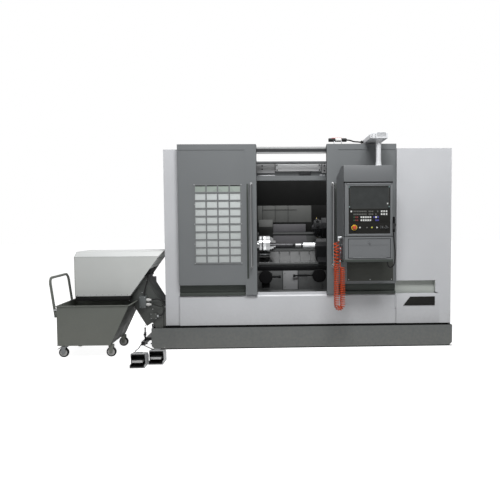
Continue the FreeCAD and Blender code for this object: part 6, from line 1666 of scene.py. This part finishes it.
def cabinet_door(name, left, right, hinge_x, lock_x):
    sheet = finished(
        slab((left, BACK_FACE - 0.0005, DOOR_LOW), (right, BACK_FACE + 0.003, DOOR_HIGH), 0.0015),
        COVER_WHITE)
    parts = [sheet]
    for z in (0.42, 0.9, 1.38):
        parts.append(finished(turned([(-0.045, 0.006), (-0.043, 0.0075), (-0.016, 0.0075), (-0.014, 0.0065),
            (-0.012, 0.0075), (0.043, 0.0075), (0.045, 0.006)], (hinge_x, BACK_FACE + 0.008, z), sides=20),
            ZINC))
    for z in (0.55, 1.25):
        parts.append(finished(turned([(0.0, 0.015), (0.002, 0.015), (0.004, 0.0125), (0.01, 0.0115)],
            (lock_x, BACK_FACE + 0.0025, z), BACK, 24), ZINC))
        parts.append(finished(slab((lock_x - 0.0015, BACK_FACE + 0.012, z - 0.007),
            (lock_x + 0.0015, BACK_FACE + 0.013, z + 0.007), 0.0003), BLACKED))
    parts.append(finished(
        slab((lock_x - 0.012, BACK_FACE + 0.0025, 0.85), (lock_x + 0.012, BACK_FACE + 0.012, 0.99), 0.004),
        CABLE_BLACK))
    parts.append(finished(
        slab((lock_x - 0.008, BACK_FACE + 0.012, 0.862), (lock_x + 0.008, BACK_FACE + 0.024, 0.95), 0.004),
        CABLE_BLACK))
    keep(name, joined(parts))


cabinet_door("cabinet_door_left", -0.45, 0.252, -0.459, 0.19)
cabinet_door("cabinet_door_right", 0.256, 0.958, 0.967, 0.318)
vent_hoods = []
for row in range(6):
    level = 1.549 + 0.046 * row
    vent_hoods.append(finished(formed([(BACK_FACE - 0.0005, level + 0.024),
        (BACK_FACE + 0.011, level + 0.006), (BACK_FACE + 0.012, level + 0.0075),
        (BACK_FACE + 0.001, level + 0.026)], "X", -0.066, 0.546, edge=0.0005), COVER_WHITE))
keep("cabinet_vent_hoods", joined(vent_hoods))
tally()

# %% [markdown]
# ## Front cover and tank
# The right cover runs down in one sheet to the tank, so a plate closes the joint under its pocket.  The
# tank has welded seams, and a cleaning lid with a grip at its left end.

# %% Front cover and tank
keep("right_cover_foot", slab((1.014, -0.8283, 0.2475), (1.4865, -0.8195, 0.57), 0.001),
    COVER_WHITE)
TANK_END = 1.62
TANK_FRONT = -0.85
SEAM_FACE = TANK_FRONT - 0.0002
SEAM_LOW, SEAM_HIGH = 0.004, 0.216


def seam(start, end):
    """A straight weld bead, drawn through places that lie evenly on it."""
    return bent_bar(along(start, end, 4), 0.0018, sides=4, steps=4)


seams = [seam((x, SEAM_FACE, SEAM_LOW), (x, SEAM_FACE, SEAM_HIGH)) for x in (-0.54, 0.54)]
seams += [seam((-TANK_END, y, SEAM_LOW), (-TANK_END, y, SEAM_HIGH)) for y in (-0.3, 0.1)]
keep("tank_seams", joined(seams), TANK_GREY)
lid = finished(slab((-TANK_END - 0.0035, 0.18, 0.05), (-TANK_END + 0.0005, 0.78, 0.19), 0.0015), TANK_GREY)
lid_grip = finished(bent_bar([(x, y, 0.12) for x, y in (
    (-1.623, 0.42), (-1.646, 0.42), (-1.65, 0.428), (-1.65, 0.532), (-1.646, 0.54), (-1.623, 0.54))], 0.005),
    ZINC)
lid_screws = finished(screw_heads(
    [(-TANK_END - 0.0035, y, z) for y in (0.2, 0.38, 0.58, 0.76) for z in (0.062, 0.178)], 0.0055,
    LEFT, 8), ZINC)
keep("tank_cleaning_lid", joined([lid, lid_grip, lid_screws]))
# painted shadow: a black strip along the tank's foot on the floor
keep("tank_foot_shadow", slab((-1.619, -0.8512, 0.0005), (1.619, -0.849, 0.01), 0.0006), BLACK_AND_SHADE)
tally()

# %% [markdown]
# ## Painted reflection on the window
# Behind the lattice a pale sheet is painted with the light that the pane throws back: a painted reflection.
# It lies close behind the lattice, so that the bars leave no second line of shade beside them.  Along the
# top row it is darker, with a black strip at the top.

# %% Painted reflection on the window
# painted reflection: a pale opaque sheet for the light the pane throws back, darker along its top row
PANE_REFLECTION = dark_inside(painted("pane_reflection_paint", (0.5, 0.53, 0.525), roughness=0.3),
    [((-0.897, -0.831, 1.713), (0.3, 0.01, 0.043))], (0.27, 0.31, 0.28))
keep("window_reflection", joined([
    finished(slab((-1.142, -0.8318, 0.921), (-0.652, -0.8306, 1.751), 0.0004), PANE_REFLECTION),
    finished(slab((-1.134, -0.8323, 1.736), (-0.66, -0.8316, 1.7475), 0.0002), BLACK_AND_SHADE)]), body="left_door")
tally()

# %% [markdown]
# ## Floor and light
# A machine of pale paint on a white ground needs soft light from above and from the front, so that the
# underside of the pendant and the inside of the chamber stay dark.  The floor is pale and keeps the shadow.
# The background is white only for camera, mirror and glass rays: the light on the machine comes from the
# lamps and a dim sky.

# %% Floor and lights
FLOOR_HALF = 30.0
SKY_STRENGTH = 0.13


def white_to_the_eye(tree):
    """1 for rays from the camera, off a mirror or through glass."""
    path = add(tree, "ShaderNodeLightPath")
    first = add(tree, "ShaderNodeMath", operation="MAXIMUM")
    second = add(tree, "ShaderNodeMath", operation="MAXIMUM")
    tree.links.new(path.outputs["Is Camera Ray"], first.inputs[0])
    tree.links.new(path.outputs["Is Glossy Ray"], first.inputs[1])
    tree.links.new(first.outputs[0], second.inputs[0])
    tree.links.new(path.outputs["Is Transmission Ray"], second.inputs[1])
    return second.outputs[0]


def make_sky():
    world = bpy.data.worlds.new("sky")
    bpy.context.scene.world = world
    world.use_nodes = True
    tree = world.node_tree
    background = tree.nodes["Background"]
    background.inputs["Color"].default_value = (1.0, 1.0, 1.0, 1.0)
    strength = ranged(tree, white_to_the_eye(tree), SKY_STRENGTH, 1.0, 0.0, 1.0)
    tree.links.new(strength, background.inputs["Strength"])


def make_floor():
    bpy.ops.mesh.primitive_plane_add(size=2 * FLOOR_HALF, location=(0.0, 0.0, -0.0005))
    floor = bpy.context.object
    floor.name = "floor"
    material, tree, shader = new_material("floor_white")
    shader.inputs["Base Color"].default_value = (0.5, 0.5, 0.5, 1.0)
    shader.inputs["Roughness"].default_value = 0.75
    glow = ranged(tree, white_to_the_eye(tree), 0.0, 0.92, 0.0, 1.0)
    shader.inputs["Emission Color"].default_value = (1.0, 1.0, 1.0, 1.0)
    tree.links.new(glow, shader.inputs["Emission Strength"])
    floor.data.materials.append(material)


def area_light(name, place, target, size, power):
    data = bpy.data.lights.new(name, "AREA")
    data.shape = "RECTANGLE"
    data.size, data.size_y = size
    data.energy = power
    lamp = bpy.data.objects.new(name, data)
    lamp.location = place
    lamp.rotation_euler = (Vector(target) - Vector(place)).to_track_quat("-Z", "Y").to_euler()
    bpy.context.scene.collection.objects.link(lamp)


make_sky()
make_floor()
area_light("key", (0.4, -4.2, 6.0), (-0.2, -0.5, 0.9), (3.4, 1.4), 362.0)
area_light("ceiling", (-0.6, -0.4, 5.4), (-0.3, -0.4, 0.0), (6.0, 2.5), 85.0)
area_light("front", (-2.2, -8.5, 2.2), (-0.3, 0.0, 1.0), (3.0, 2.0), 22.0)
print("lights", len(bpy.data.lights))
